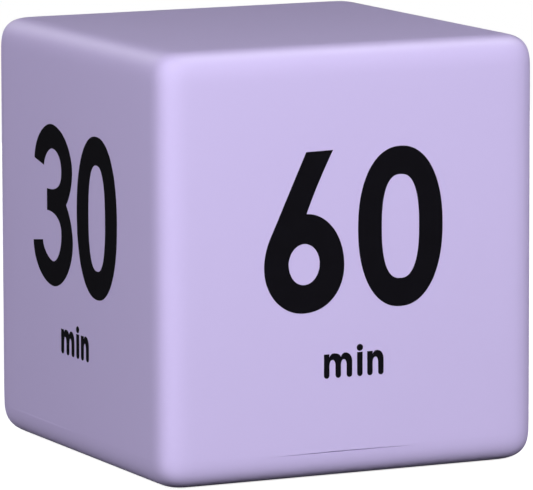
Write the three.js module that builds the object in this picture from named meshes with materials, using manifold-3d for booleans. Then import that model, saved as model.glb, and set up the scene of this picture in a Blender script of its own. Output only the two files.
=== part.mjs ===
// A cube timer: a soft-edged moulded cube that is turned so that the wanted time faces up.
// Millimetres, +Z up. The origin is the middle of the underside. The 60 minute face looks along -Y,
// the 30 minute face along -X, the 15 minute face along +Y and the 5 minute face along +X.
import * as THREE from "three";
import { mergeVertices } from "three/addons/utils/BufferGeometryUtils.js";
import Module from "manifold-3d";

const wasm = await Module();
wasm.setup();

// Housing. Its plan follows from the cells across its depth and the sounder beside their bay.
const height = 63.5;
const wall = 2;
const bayToLip = 0.5;
const sounderRoom = 0.675;
const edgeReach = 6;
const edgePower = 3.6;
const outerEdgeSteps = 4;
const innerEdgeSteps = 2;
const seamHeight = 4.1;
const floorThickness = 2.2;
const lipThickness = 1.2;
const lipHeight = 2.5;

// Clearances, and how far a cutting shape runs past what it cuts
const fitGap = 0.3;
const overrun = 1;

// Cover screws, their towers in the base and their posts in the housing
const screwInset = 10;
const coverScrewHeadRadius = 2.3;
const coverScrewHeadHeight = 1.5;
const coverScrewShankRadius = 1.1;
const coverScrewLength = 14;
const counterboreDepth = 4.6;
const towerWall = 1.2;
const towerHeight = 7.2;
const postWall = 1.7;
const postDraft = 0.5;
const postRibThickness = 1.2;
const postRibRise = 1.5;

// Cells and their bay
const cellDiameter = 10.5;
const cellLength = 44.5;
const cellNubRadius = 1.9;
const cellNubHeight = 0.8;
const cellEdge = 0.4;
const cellSpacing = 11.4;
const bayWall = 1.8;
const bayEndWall = 1.2;
const bayRoof = 1.5;
const saddleThickness = 1.4;
const saddlePlace = 12;

// Contacts and springs
const contactThickness = 0.4;
const contactWidth = 8;
const bumpHeight = 0.9;
const bumpRadius = 2.6;
const bumpTipRadius = 1.3;
const springLength = 4.4;
const springWireRadius = 0.3;
const springBaseRadius = 3.6;
const springTipRadius = 2.4;
const springTurns = 3;
const springStepsPerTurn = 8;
const springSides = 5;
const tabWidth = 2;
const tabRise = 3;

// Battery door
const doorThickness = 1.6;
const doorRecess = 0.3;
const doorLedge = 0.6;
const doorEndLedge = 1.3;
const doorCorner = 1;
const hingePinRadius = 0.4;
const hingePinLength = 1;
const hingePinClearance = 0.25;
const latchWidth = 10;
const latchLength = 9;
const latchSlot = 0.8;
const gripRibHeight = 0.25;
const gripRibThickness = 0.7;
const gripRibSpacing = 1.6;
const gripRibCount = 3;
const nailScoopRadius = 5;
const nailScoopDepth = 1.4;

// Slide switch
const switchLength = 8.6;
const switchWidth = 4.4;
const switchHeight = 3.6;
const switchMetal = 0.4;
const switchEarLength = 3;
const switchBaseThickness = 1;
const switchTravel = 2;
const leverLength = 2;
const leverWidth = 1.8;
const leverHead = 1.4;
const pegRadius = 0.8;
const pegRise = 1.5;
const platformHeight = 1;
const platformMargin = 1;
const pocketLength = 9;
const pocketWidth = 5.4;
const pocketDepth = 2;
const pocketCorner = 1;
const knobLength = 5.6;
const knobWidth = 4.4;
const knobThickness = 1.2;
const knobCorner = 0.6;
const knobRidgeHeight = 0.2;
const knobRidgeThickness = 0.5;
const knobRidgeSpacing = 1.2;
const knobRidgeCount = 3;
const terminalRadius = 0.35;
const terminalRise = 1.6;
const terminalSpacing = 2.6;

// Sounder
const sounderRadius = 6;
const sounderHeight = 7.5;
const sounderWall = 0.6;
const sounderFace = 0.8;
const sounderPort = 1;
const sounderStep = 0.9;
const sounderStepWidth = 0.6;
const diaphragmThickness = 0.2;
const sounderPlateThickness = 1;
const sounderCoilRadius = 3;
const sounderCoreRadius = 1;
const sounderCoilGap = 1.1;
const sounderCoreGap = 0.5;
const sounderPinRadius = 0.35;
const sounderPinSpacing = 5;
const cradleThickness = 0.8;
const cradleHeight = 3;
const cradleOpening = 7;
const soundHoleRadius = 0.6;
const soundHoleRing = 2.6;
const soundHoleCount = 6;

// Main board
const boardToPost = 0.4;
const boardToTab = 1.9;
const boardThickness = 1.6;
const boardCorner = 1.5;
const boardPostHeight = 4;
const boardPostRadius = 2.2;
const boardPostInset = 0.35;
const boardScrewInset = 3;
const boardScrewHeadRadius = 1.8;
const boardScrewHeadHeight = 1.2;
const boardScrewShankRadius = 0.8;
const boardScrewDepth = 4.2;

// Parts on the board
const blobRadius = 5;
const blobHeight = 1.6;
const crystalRadius = 1;
const crystalLength = 6;
const capacitorRadius = 2.5;
const capacitorHeight = 7;
const capacitorEdge = 0.4;
const coilRadius = 3;
const coilWaistRadius = 2.3;
const coilHeight = 5;
const coilFlange = 0.9;
const transistorRadius = 2.3;
const transistorFlat = 1.3;
const transistorHeight = 4.6;

// Their places, as shares of the board's half width and half length
const crystalPlaceShare = [-0.18, 0.41];
const capacitorPlaceShare = [0.61, 0.46];
const coilPlaceShare = [-0.64, -0.35];
const transistorPlaceShare = [0.58, 0.13];

// Ball tilt switches
const canRadius = 2.6;
const canLength = 10;
const canMetal = 0.3;
const canSlope = 12;
const headerFlange = 0.8;
const headerPlug = 1.2;
const ballRadius = 2;
const leadRadius = 0.25;
const leadReach = 1.2;
const leadSpacing = 2.5;
const tiltInsetX = 4.5;
const tiltInsetY = 5;
const tiltSidewaysStart = 2.5;
const tiltCrosswaysStart = 7;

// Wires
const wireRadius = 0.6;
const wireSides = 8;
const wireArch = 2.4;
const padInset = 1.5;
const wireStepShare = 5;

// Round faces
const fineSides = 24;
const middleSides = 16;
const coarseSides = 12;
const smallSides = 8;

// Places that follow from the sizes above
const cellRadius = cellDiameter / 2;
const cellX = cellSpacing / 2;
const doorTop = doorRecess + doorThickness;
const cellZ = doorTop + fitGap + cellRadius;
const bayHalfX = cellX + cellRadius + fitGap;
const bayHalfY = (cellLength + bumpHeight + springLength) / 2 + contactThickness;
const bayCeiling = cellZ + cellRadius + fitGap;
const bayTop = bayCeiling + bayRoof;
const bayOuterX = bayHalfX + bayWall;
const bayOuterY = bayHalfY + bayEndWall;
const contactFaceY = bayHalfY - contactThickness;
const tabTop = bayTop + tabRise;

const lipInnerX = bayOuterX + 2 * (sounderRadius + fitGap + sounderRoom);
const lipInnerY = bayOuterY + bayToLip;
const lipOuterX = lipInnerX + lipThickness;
const lipOuterY = lipInnerY + lipThickness;
const cavityReach = edgeReach - wall;
const cavityHalfX = lipOuterX + fitGap;
const cavityHalfY = lipOuterY + fitGap;
const width = 2 * (cavityHalfX + wall);
const depth = 2 * (cavityHalfY + wall);

const screwX = width / 2 - screwInset;
const screwY = depth / 2 - screwInset;
const counterboreRadius = coverScrewHeadRadius + fitGap;
const towerRadius = counterboreRadius + towerWall;
const coverPilotRadius = coverScrewShankRadius + fitGap;
const postRadius = coverPilotRadius + postWall;

const doorHoleX = bayHalfX + doorLedge;
const doorHoleY = bayHalfY - doorEndLedge;
const doorHalfX = doorHoleX - fitGap;
const doorHalfY = doorHoleY - fitGap;
const hingeY = doorThickness / 2 - doorHalfY;
const hingeZ = doorRecess + doorThickness / 2;

const switchX = -(bayOuterX + lipInnerX) / 2;
const platformTop = floorThickness + platformHeight;
const knobTop = pocketDepth - fitGap;
const knobBottom = knobTop - knobThickness;
const switchTop = platformTop + switchHeight;
const switchBaseTop = switchTop + switchBaseThickness;
const terminalTop = switchBaseTop + terminalRise;
const leverTop = platformTop + switchMetal + fitGap + leverHead;

const sounderX = (bayOuterX + lipInnerX) / 2;
const sounderTop = floorThickness + sounderHeight;
const sounderPlateTop = sounderTop + sounderPlateThickness;
const sounderPinTop = sounderPlateTop + terminalRise;

const boardHalfX = screwX - postRadius - postDraft - boardToPost;
const boardHalfY = contactFaceY - boardToTab;
const boardBottom = bayTop + boardPostHeight;
const boardTop = boardBottom + boardThickness;
const boardScrewX = bayOuterX - boardPostInset - boardPostRadius;
const boardScrewY = boardHalfY - boardScrewInset;

const canInnerRadius = canRadius - canMetal;
const ballStart = canMetal + fitGap + ballRadius;
const ballTravel = canLength - headerPlug - fitGap - ballRadius - ballStart;
const tiltX = boardHalfX - tiltInsetX;
const tiltY = boardHalfY - tiltInsetY;

// A closed geometry as a solid for joining and cutting, its faces turned outwards.
function solid(geometry) {
  const bare = new THREE.BufferGeometry();
  bare.setAttribute("position", geometry.getAttribute("position").clone());
  if (geometry.index) {
    bare.setIndex(geometry.index.clone());
  }
  const merged = mergeVertices(bare);
  const triangles = [];
  const index = merged.index.array;
  for (let i = 0; i < index.length; i += 3) {
    const [a, b, c] = index.slice(i, i + 3);
    if (a !== b && b !== c && c !== a) {
      triangles.push(a, b, c);
    }
  }
  const build = (order) =>
    new wasm.Manifold(
      new wasm.Mesh({
        numProp: 3,
        vertProperties: merged.attributes.position.array,
        triVerts: new Uint32Array(order),
      }),
    );
  const made = build(triangles);
  return made.volume() < 0 ? build(triangles.reverse()) : made;
}

function geometryOf(manifold) {
  const mesh = manifold.getMesh();
  const geometry = new THREE.BufferGeometry();
  geometry.setAttribute("position", new THREE.BufferAttribute(mesh.vertProperties, mesh.numProp));
  geometry.setIndex(new THREE.BufferAttribute(mesh.triVerts, 1));
  geometry.computeVertexNormals();
  return geometry;
}

function join(first, ...others) {
  return others.reduce((sum, other) => sum.add(other), first);
}

function cut(first, ...others) {
  return others.reduce((rest, other) => rest.subtract(other), first);
}

// A block between two opposite corners.
function block(x0, x1, y0, y1, z0, z1) {
  const geometry = new THREE.BoxGeometry(x1 - x0, y1 - y0, z1 - z0);
  geometry.translate((x0 + x1) / 2, (y0 + y1) / 2, (z0 + z1) / 2);
  return solid(geometry);
}

// A round bar that stands upright at x, y, and may taper from its lower to its upper radius.
function bar(x, y, z0, z1, lower, sides, upper = lower) {
  const geometry = new THREE.CylinderGeometry(upper, lower, z1 - z0, sides);
  geometry.rotateX(Math.PI / 2);
  geometry.translate(x, y, (z0 + z1) / 2);
  return solid(geometry);
}

// A body turned about the upright axis from [radius, height] pairs.
function turned(profile, sides) {
  const points = profile.map(([radius, rise]) => new THREE.Vector2(radius, rise));
  const geometry = new THREE.LatheGeometry(points, sides);
  geometry.rotateX(Math.PI / 2);
  return solid(geometry);
}

// An upright plate with round corners, centred on the axis.
function plate(halfX, halfY, corner, z0, z1) {
  const outline = new THREE.Shape();
  outline.moveTo(halfX - corner, -halfY);
  outline.absarc(halfX - corner, corner - halfY, corner, -Math.PI / 2, 0);
  outline.absarc(halfX - corner, halfY - corner, corner, 0, Math.PI / 2);
  outline.absarc(corner - halfX, halfY - corner, corner, Math.PI / 2, Math.PI);
  outline.absarc(corner - halfX, corner - halfY, corner, Math.PI, Math.PI * 1.5);
  outline.closePath();
  const geometry = new THREE.ExtrudeGeometry(outline, {
    depth: z1 - z0,
    bevelEnabled: false,
    curveSegments: smallSides / 2,
  });
  geometry.translate(0, 0, z0);
  return solid(geometry);
}

function shifted(piece, x, y, z) {
  const geometry = geometryOf(piece);
  geometry.translate(x, y, z);
  return solid(geometry);
}

// A block whose edges and corners follow a superellipse, so that each face runs softly into the next.
function softBlock(halfX, halfY, z0, z1, reach, steps) {
  const cells = 2 * steps + 1;
  const geometry = new THREE.BoxGeometry(1, 1, 1, cells, cells, cells);
  const halves = [halfX, halfY, (z1 - z0) / 2];
  const middleCell = 1 / (2 * cells);
  const position = geometry.getAttribute("position");
  for (let i = 0; i < position.count; i++) {
    const point = [position.getX(i), position.getY(i), position.getZ(i)];
    const away = point.map((value) => {
      const share = Math.max(0, (Math.abs(value) - middleCell) / (1 / 2 - middleCell));
      return Math.tan((share * Math.PI) / 4) ** (1 / (edgePower - 1));
    });
    const norm = away.reduce((sum, value) => sum + value ** edgePower, 0) ** (1 / edgePower);
    const [x, y, z] = point.map(
      (value, axis) => Math.sign(value) * (halves[axis] - reach + (reach * away[axis]) / norm),
    );
    position.setXYZ(i, x, y, z + (z0 + z1) / 2);
  }
  return solid(geometry);
}

// The four corners of a rectangle, in turn.
function corners(x, y) {
  return [
    [x, y],
    [-x, y],
    [-x, -y],
    [x, -y],
  ];
}

function bodyShell() {
  const outer = softBlock(width / 2, depth / 2, 0, height, edgeReach, outerEdgeSteps);
  const cavityLow = seamHeight - cavityReach - overrun;
  const cavity = softBlock(
    cavityHalfX,
    cavityHalfY,
    cavityLow,
    height - wall,
    cavityReach,
    innerEdgeSteps,
  );
  const below = block(-width, width, -depth, depth, -overrun, seamHeight);
  const within = softBlock(
    width / 2 - wall / 2,
    depth / 2 - wall / 2,
    0,
    height - wall / 2,
    edgeReach - wall / 2,
    innerEdgeSteps,
  );
  const ribLow = towerHeight + postRibRise;
  const halfRib = postRibThickness / 2;
  const supports = corners(screwX, screwY).map(([x, y]) => {
    const post = bar(x, y, towerHeight, height, postRadius, middleSides, postRadius + postDraft);
    const outX = (Math.sign(x) * width) / 2;
    const outY = (Math.sign(y) * depth) / 2;
    const sideRib = block(Math.min(x, outX), Math.max(x, outX), y - halfRib, y + halfRib, ribLow, height);
    const endRib = block(x - halfRib, x + halfRib, Math.min(y, outY), Math.max(y, outY), ribLow, height);
    return join(post, sideRib, endRib).intersect(within);
  });
  const pilots = corners(screwX, screwY).map(([x, y]) =>
    bar(
      x,
      y,
      towerHeight - overrun,
      counterboreDepth + coverScrewLength + overrun,
      coverPilotRadius,
      coarseSides,
    ),
  );
  return cut(join(cut(outer, cavity, below), ...supports), ...pilots);
}

// The tray, its lip and the walls of the battery bay, before the small features are cut.
function baseTray() {
  const outer = softBlock(width / 2, depth / 2, 0, height, edgeReach, outerEdgeSteps);
  const above = block(-width, width, -depth, depth, seamHeight, height + overrun);
  const hollow = plate(
    lipInnerX,
    lipInnerY,
    cavityReach - lipThickness,
    floorThickness,
    seamHeight + overrun,
  );
  const lipTop = seamHeight + lipHeight;
  const lip = plate(lipOuterX, lipOuterY, cavityReach, floorThickness, lipTop);
  const lipHollow = plate(
    lipInnerX,
    lipInnerY,
    cavityReach - lipThickness,
    floorThickness - overrun,
    lipTop + overrun,
  );
  const bay = block(-bayOuterX, bayOuterX, -bayOuterY, bayOuterY, floorThickness / 2, bayTop);
  return join(cut(outer, above, hollow), cut(lip, lipHollow), bay);
}

// A rib across the bay that fits over both cells.
function cellSaddle(y) {
  const rib = block(
    -bayHalfX - bayWall / 2,
    bayHalfX + bayWall / 2,
    y - saddleThickness / 2,
    y + saddleThickness / 2,
    cellZ + cellRadius / 2,
    bayCeiling + bayRoof / 2,
  );
  const holes = [-cellX, cellX].map((x) => {
    const geometry = new THREE.CylinderGeometry(
      cellRadius + fitGap,
      cellRadius + fitGap,
      saddleThickness + 2 * overrun,
      fineSides,
    );
    geometry.translate(x, y, cellZ);
    return solid(geometry);
  });
  return cut(rib, ...holes);
}

function contactSlot(x, y) {
  const halfWidth = tabWidth / 2 + fitGap;
  return block(
    x - halfWidth,
    x + halfWidth,
    y - contactThickness - fitGap,
    y + contactThickness + fitGap,
    bayCeiling - overrun,
    bayTop + overrun,
  );
}

function sounderCradle() {
  const inner = sounderRadius + fitGap;
  const top = floorThickness + cradleHeight;
  const ring = cut(
    bar(sounderX, 0, floorThickness / 2, top, inner + cradleThickness, fineSides),
    bar(sounderX, 0, 0, top + overrun, inner, fineSides),
  );
  const gap = block(
    sounderX - width,
    sounderX + width,
    -cradleOpening / 2,
    cradleOpening / 2,
    floorThickness,
    top + overrun,
  );
  const floor = bar(sounderX, 0, floorThickness / 2, floorThickness, inner, fineSides);
  return join(cut(ring, gap), floor);
}

function soundHoles() {
  const holes = [bar(sounderX, 0, -overrun, floorThickness + overrun, soundHoleRadius, smallSides)];
  for (let i = 0; i < soundHoleCount; i++) {
    const angle = (i * 2 * Math.PI) / soundHoleCount;
    const x = sounderX + soundHoleRing * Math.cos(angle);
    const y = soundHoleRing * Math.sin(angle);
    holes.push(bar(x, y, -overrun, floorThickness + overrun, soundHoleRadius, smallSides));
  }
  return holes;
}

function baseCover() {
  const towers = corners(screwX, screwY).map(([x, y]) =>
    bar(x, y, floorThickness / 2, towerHeight, towerRadius, middleSides),
  );
  const screwHoles = corners(screwX, screwY).map(([x, y]) =>
    join(
      bar(x, y, -overrun, counterboreDepth, counterboreRadius, middleSides),
      bar(x, y, 0, towerHeight + overrun, coverScrewShankRadius + fitGap, coarseSides),
    ),
  );
  const platformX = switchWidth / 2 + platformMargin;
  const platformY = switchLength / 2 + switchEarLength + platformMargin;
  const platform = block(
    switchX - platformX,
    switchX + platformX,
    -platformY,
    platformY,
    floorThickness / 2,
    platformTop,
  );
  const pegY = switchLength / 2 + switchEarLength / 2;
  const pegs = [-pegY, pegY].map((y) =>
    bar(switchX, y, floorThickness, platformTop + pegRise, pegRadius, coarseSides),
  );
  const pocket = shifted(
    plate(pocketWidth / 2, pocketLength / 2, pocketCorner, -overrun, pocketDepth),
    switchX,
    0,
    0,
  );
  const leverSlotX = leverWidth / 2 + fitGap;
  const leverSlotY = (leverLength + switchTravel) / 2 + fitGap;
  const leverSlot = block(
    switchX - leverSlotX,
    switchX + leverSlotX,
    -leverSlotY,
    leverSlotY,
    0,
    platformTop + overrun,
  );
  const boardPosts = corners(boardScrewX, boardScrewY).map(([x, y]) =>
    bar(x, y, bayTop - bayRoof / 2, boardBottom, boardPostRadius, middleSides),
  );
  const boardPilots = corners(boardScrewX, boardScrewY).map(([x, y]) =>
    bar(
      x,
      y,
      boardBottom - boardScrewDepth - fitGap,
      boardBottom + overrun,
      boardScrewShankRadius + fitGap,
      smallSides,
    ),
  );
  const bayHollow = block(-bayHalfX, bayHalfX, -bayHalfY, bayHalfY, floorThickness, bayCeiling);
  const doorHole = plate(doorHoleX, doorHoleY, doorCorner + fitGap, -overrun, floorThickness);
  const hingeHoles = new THREE.CylinderGeometry(
    hingePinRadius + hingePinClearance,
    hingePinRadius + hingePinClearance,
    2 * (doorHalfX + hingePinLength + fitGap),
    smallSides,
  );
  hingeHoles.rotateZ(Math.PI / 2);
  hingeHoles.translate(0, hingeY, hingeZ);
  const scoop = new THREE.SphereGeometry(nailScoopRadius, middleSides, middleSides);
  scoop.translate(0, doorHoleY, nailScoopDepth - nailScoopRadius);
  const slots = [
    contactSlot(-cellX, -bayHalfY + contactThickness / 2),
    contactSlot(cellX, -bayHalfY + contactThickness / 2),
  ];
  const cleared = cut(join(baseTray(), ...towers, platform, ...boardPosts, sounderCradle()), bayHollow);
  const cradled = join(cleared, cellSaddle(-saddlePlace), cellSaddle(saddlePlace), ...pegs);
  return cut(
    cradled,
    doorHole,
    solid(hingeHoles),
    solid(scoop),
    pocket,
    leverSlot,
    ...screwHoles,
    ...soundHoles(),
    ...boardPilots,
    ...slots,
  );
}

// The door's origin is the middle of its hinge line, with the door reaching along +Y.
function batteryDoor() {
  const length = 2 * doorHalfY;
  const half = doorThickness / 2;
  const outline = plate(doorHalfX, doorHalfY, doorCorner, -half, half);
  const panel = shifted(outline, 0, doorHalfY - half, 0);
  const square = block(-doorHalfX, doorHalfX, -half - overrun, 0, -half - overrun, half + overrun);
  const round = new THREE.CylinderGeometry(half, half, 2 * doorHalfX, middleSides);
  round.rotateZ(Math.PI / 2);
  const pins = new THREE.CylinderGeometry(
    hingePinRadius,
    hingePinRadius,
    2 * (doorHalfX + hingePinLength),
    smallSides,
  );
  pins.rotateZ(Math.PI / 2);
  const end = length - half;
  const slots = [-1, 1].map((side) => {
    const x = (side * latchWidth) / 2;
    return block(
      x - latchSlot / 2,
      x + latchSlot / 2,
      end - latchLength,
      end + overrun,
      -half - overrun,
      half + overrun,
    );
  });
  const ribs = [];
  for (let i = 0; i < gripRibCount; i++) {
    const y = end - gripRibSpacing * (i + 1);
    ribs.push(
      block(
        -latchWidth / 4,
        latchWidth / 4,
        y - gripRibThickness / 2,
        y + gripRibThickness / 2,
        -half - gripRibHeight,
        0,
      ),
    );
  }
  return cut(join(cut(panel, square), solid(round).intersect(panel), solid(pins), ...ribs), ...slots);
}

// A cell that lies along Y with its nub at +Y and its flat end at the origin.
function cell() {
  const body = cellLength - cellNubHeight;
  const made = turned(
    [
      [0, 0],
      [cellRadius - cellEdge, 0],
      [cellRadius, cellEdge],
      [cellRadius, body - cellEdge],
      [cellRadius - cellEdge, body],
      [cellNubRadius, body],
      [cellNubRadius, cellLength],
      [0, cellLength],
    ],
    fineSides,
  );
  const geometry = geometryOf(made);
  geometry.rotateX(-Math.PI / 2);
  return geometry;
}

// A contact's upright leaf against an end wall: its back lies at y and its face looks along facing.
function contactLeaf(x0, x1, y, facing) {
  const front = y + facing * contactThickness;
  return block(x0, x1, Math.min(y, front), Math.max(y, front), floorThickness, bayCeiling - fitGap);
}

function contactTab(x, y, facing) {
  const front = y + facing * contactThickness;
  return block(
    x - tabWidth / 2,
    x + tabWidth / 2,
    Math.min(y, front),
    Math.max(y, front),
    cellZ,
    tabTop,
  );
}

function contactBump(x, y, facing) {
  const geometry = new THREE.CylinderGeometry(bumpTipRadius, bumpRadius, bumpHeight, coarseSides);
  geometry.translate(0, bumpHeight / 2, 0);
  if (facing < 0) {
    geometry.rotateZ(Math.PI);
  }
  geometry.translate(x, y, cellZ);
  return solid(geometry);
}

function contactPositive() {
  const x = -cellX;
  const leaf = contactLeaf(x - contactWidth / 2, x + contactWidth / 2, -bayHalfY, 1);
  return join(leaf, contactTab(x, -bayHalfY, 1), contactBump(x, -contactFaceY, 1));
}

function contactNegative() {
  const x = cellX;
  const leaf = contactLeaf(x - contactWidth / 2, x + contactWidth / 2, -bayHalfY, 1);
  return join(leaf, contactTab(x, -bayHalfY, 1));
}

function contactBridge() {
  const half = cellX + contactWidth / 2;
  return join(contactLeaf(-half, half, bayHalfY, -1), contactBump(cellX, contactFaceY, -1));
}

// The middle line of a conical spring along +Y, from its straight tail to its straight tip.
function springLine() {
  const diameter = 2 * springWireRadius;
  const count = springTurns * springStepsPerTurn;
  const points = [new THREE.Vector3(springBaseRadius, 0, 0)];
  for (let i = 0; i <= count; i++) {
    const share = i / count;
    const angle = share * springTurns * 2 * Math.PI;
    const radius = springBaseRadius + (springTipRadius - springBaseRadius) * share;
    const y = diameter + (springLength - 2 * diameter) * share;
    points.push(new THREE.Vector3(radius * Math.cos(angle), y, radius * Math.sin(angle)));
  }
  points.push(new THREE.Vector3(springTipRadius, springLength, 0));
  return points;
}

// A closed round wire through a list of points, mitred where it bends.
function wireThrough(points, radius, sides) {
  const last = points.length - 1;
  const runs = points.slice(1).map((point, i) => point.clone().sub(points[i]).normalize());
  const positions = [];
  const index = [];
  let across = new THREE.Vector3(1, 0, 0);
  points.forEach((point, i) => {
    const before = runs[Math.max(i - 1, 0)];
    const after = runs[Math.min(i, last - 1)];
    const along = before.clone().add(after).normalize();
    across = across.clone().addScaledVector(along, -across.dot(along)).normalize();
    const other = along.clone().cross(across);
    for (let k = 0; k < sides; k++) {
      const angle = (k * 2 * Math.PI) / sides;
      const corner = point
        .clone()
        .addScaledVector(across, radius * Math.cos(angle))
        .addScaledVector(other, radius * Math.sin(angle));
      positions.push(corner.x, corner.y, corner.z);
    }
  });
  for (let i = 0; i < last; i++) {
    for (let k = 0; k < sides; k++) {
      const a = i * sides + k;
      const b = i * sides + ((k + 1) % sides);
      index.push(a, b, a + sides, b, b + sides, a + sides);
    }
  }
  for (let k = 1; k < sides - 1; k++) {
    index.push(0, k + 1, k);
    index.push(last * sides, last * sides + k, last * sides + k + 1);
  }
  const geometry = new THREE.BufferGeometry();
  geometry.setAttribute("position", new THREE.Float32BufferAttribute(positions, 3));
  geometry.setIndex(index);
  return geometry;
}

// The least clear distance between one curl of the spring and the next, measured on its points.
function leastSpringGap(points) {
  let least = Infinity;
  for (let i = 1; i < points.length - 1; i++) {
    for (let j = i + springStepsPerTurn / 2; j < points.length - 1; j++) {
      least = Math.min(least, points[i].distanceTo(points[j]) - 2 * springWireRadius);
    }
  }
  return least;
}

function coverScrew() {
  const end = coverScrewLength;
  return turned(
    [
      [0, -coverScrewHeadHeight],
      [coverScrewHeadRadius / 2, -coverScrewHeadHeight],
      [coverScrewHeadRadius, -coverScrewHeadHeight / 2],
      [coverScrewHeadRadius, 0],
      [coverScrewShankRadius, 0],
      [coverScrewShankRadius, end - 2 * coverScrewShankRadius],
      [0, end],
    ],
    middleSides,
  );
}

function boardScrew() {
  const end = boardThickness + boardScrewDepth;
  return turned(
    [
      [0, boardScrewHeadHeight],
      [boardScrewHeadRadius / 2, boardScrewHeadHeight],
      [boardScrewHeadRadius, boardScrewHeadHeight / 2],
      [boardScrewHeadRadius, 0],
      [boardScrewShankRadius, 0],
      [boardScrewShankRadius, boardScrewShankRadius - end],
      [0, -end],
    ],
    coarseSides,
  );
}

function mainBoard() {
  const holes = corners(boardScrewX, boardScrewY).map(([x, y]) =>
    bar(x, y, boardBottom - overrun, boardTop + overrun, boardScrewShankRadius + fitGap, coarseSides),
  );
  return cut(plate(boardHalfX, boardHalfY, boardCorner, boardBottom, boardTop), ...holes);
}

// A flat dome of sealing resin over the controller.
function controllerBlob() {
  const rings = smallSides / 2;
  const profile = [[0, 0]];
  for (let i = 0; i <= rings; i++) {
    const angle = (i / rings) * (Math.PI / 2);
    profile.push([blobRadius * Math.cos(angle), blobHeight * Math.sin(angle)]);
  }
  return turned(profile, fineSides);
}

function clockCrystal() {
  const geometry = new THREE.CylinderGeometry(crystalRadius, crystalRadius, crystalLength, coarseSides);
  geometry.rotateZ(Math.PI / 2);
  return solid(geometry);
}

function filterCapacitor() {
  return turned(
    [
      [0, 0],
      [capacitorRadius - capacitorEdge, 0],
      [capacitorRadius, capacitorEdge],
      [capacitorRadius, capacitorHeight - capacitorEdge],
      [capacitorRadius - capacitorEdge, capacitorHeight],
      [0, capacitorHeight],
    ],
    middleSides,
  );
}

function boostCoil() {
  return turned(
    [
      [0, 0],
      [coilRadius, 0],
      [coilRadius, coilFlange],
      [coilWaistRadius, coilFlange],
      [coilWaistRadius, coilHeight - coilFlange],
      [coilRadius, coilHeight - coilFlange],
      [coilRadius, coilHeight],
      [0, coilHeight],
    ],
    middleSides,
  );
}

function driverTransistor() {
  const body = bar(0, 0, 0, transistorHeight, transistorRadius, middleSides);
  const flat = block(
    -2 * transistorRadius,
    2 * transistorRadius,
    transistorFlat,
    2 * transistorRadius,
    -overrun,
    transistorHeight + overrun,
  );
  return cut(body, flat);
}

// The slide switch is built about the middle of the platform that carries it, with its lever down.
function switchFrame() {
  const can = block(-switchWidth / 2, switchWidth / 2, -switchLength / 2, switchLength / 2, 0, switchHeight);
  const inside = block(
    switchMetal - switchWidth / 2,
    switchWidth / 2 - switchMetal,
    switchMetal - switchLength / 2,
    switchLength / 2 - switchMetal,
    switchMetal,
    switchHeight + overrun,
  );
  const slotY = (leverLength + switchTravel) / 2 + fitGap;
  const slotX = leverWidth / 2 + fitGap;
  const slot = block(-slotX, slotX, -slotY, slotY, -overrun, switchMetal + overrun);
  const earEnd = switchLength / 2 + switchEarLength;
  const ears = block(-switchWidth / 2, switchWidth / 2, -earEnd, earEnd, 0, switchMetal);
  const pegY = switchLength / 2 + switchEarLength / 2;
  const pegHoles = [-pegY, pegY].map((y) =>
    bar(0, y, -overrun, switchMetal + overrun, pegRadius + fitGap, coarseSides),
  );
  return cut(join(can, ears), inside, slot, ...pegHoles);
}

function switchBase() {
  const slab = block(
    -switchWidth / 2,
    switchWidth / 2,
    -switchLength / 2,
    switchLength / 2,
    switchTop - platformTop,
    switchBaseTop - platformTop,
  );
  const pins = [-terminalSpacing, 0, terminalSpacing].map((y) =>
    bar(0, y, switchHeight, terminalTop - platformTop, terminalRadius, smallSides),
  );
  return join(slab, ...pins);
}

// The lever: a stem down through the slot, and a wider head that carries the sliding contact.
function switchLever() {
  const stem = block(
    -leverWidth / 2,
    leverWidth / 2,
    -leverLength / 2,
    leverLength / 2,
    knobTop - platformTop,
    leverTop - platformTop,
  );
  const head = block(
    switchMetal + fitGap - switchWidth / 2,
    switchWidth / 2 - switchMetal - fitGap,
    -leverLength / 2,
    leverLength / 2,
    switchMetal + fitGap,
    leverTop - platformTop,
  );
  return join(stem, head);
}

function switchKnob() {
  const half = knobThickness / 2;
  const pad = plate(knobWidth / 2, knobLength / 2, knobCorner, -half, half);
  const ridges = [];
  for (let i = 0; i < knobRidgeCount; i++) {
    const y = (i - (knobRidgeCount - 1) / 2) * knobRidgeSpacing;
    ridges.push(
      block(
        knobCorner - knobWidth / 2,
        knobWidth / 2 - knobCorner,
        y - knobRidgeThickness / 2,
        y + knobRidgeThickness / 2,
        -half - knobRidgeHeight,
        0,
      ),
    );
  }
  return join(pad, ...ridges);
}

// The sounder stands on the base's floor, its port down over the sound holes.
function sounderCase() {
  const inner = sounderRadius - sounderWall;
  const stepTop = sounderFace + sounderStep;
  const shellOutline = [
    [sounderPort, 0],
    [sounderRadius, 0],
    [sounderRadius, sounderHeight],
    [inner, sounderHeight],
    [inner, stepTop],
    [inner - sounderStepWidth, stepTop],
    [inner - sounderStepWidth, sounderFace],
    [sounderPort, sounderFace],
    [sounderPort, 0],
  ];
  return turned(shellOutline, fineSides);
}

function sounderDiaphragm() {
  const low = sounderFace + sounderStep;
  const radius = sounderRadius - sounderWall - fitGap;
  return bar(0, 0, low, low + diaphragmThickness, radius, fineSides);
}

function sounderCoil() {
  const low = sounderFace + sounderStep + diaphragmThickness;
  return turned(
    [
      [0, low + sounderCoreGap],
      [sounderCoreRadius, low + sounderCoreGap],
      [sounderCoreRadius, low + sounderCoilGap],
      [sounderCoilRadius, low + sounderCoilGap],
      [sounderCoilRadius, sounderHeight],
      [0, sounderHeight],
    ],
    middleSides,
  );
}

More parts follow.
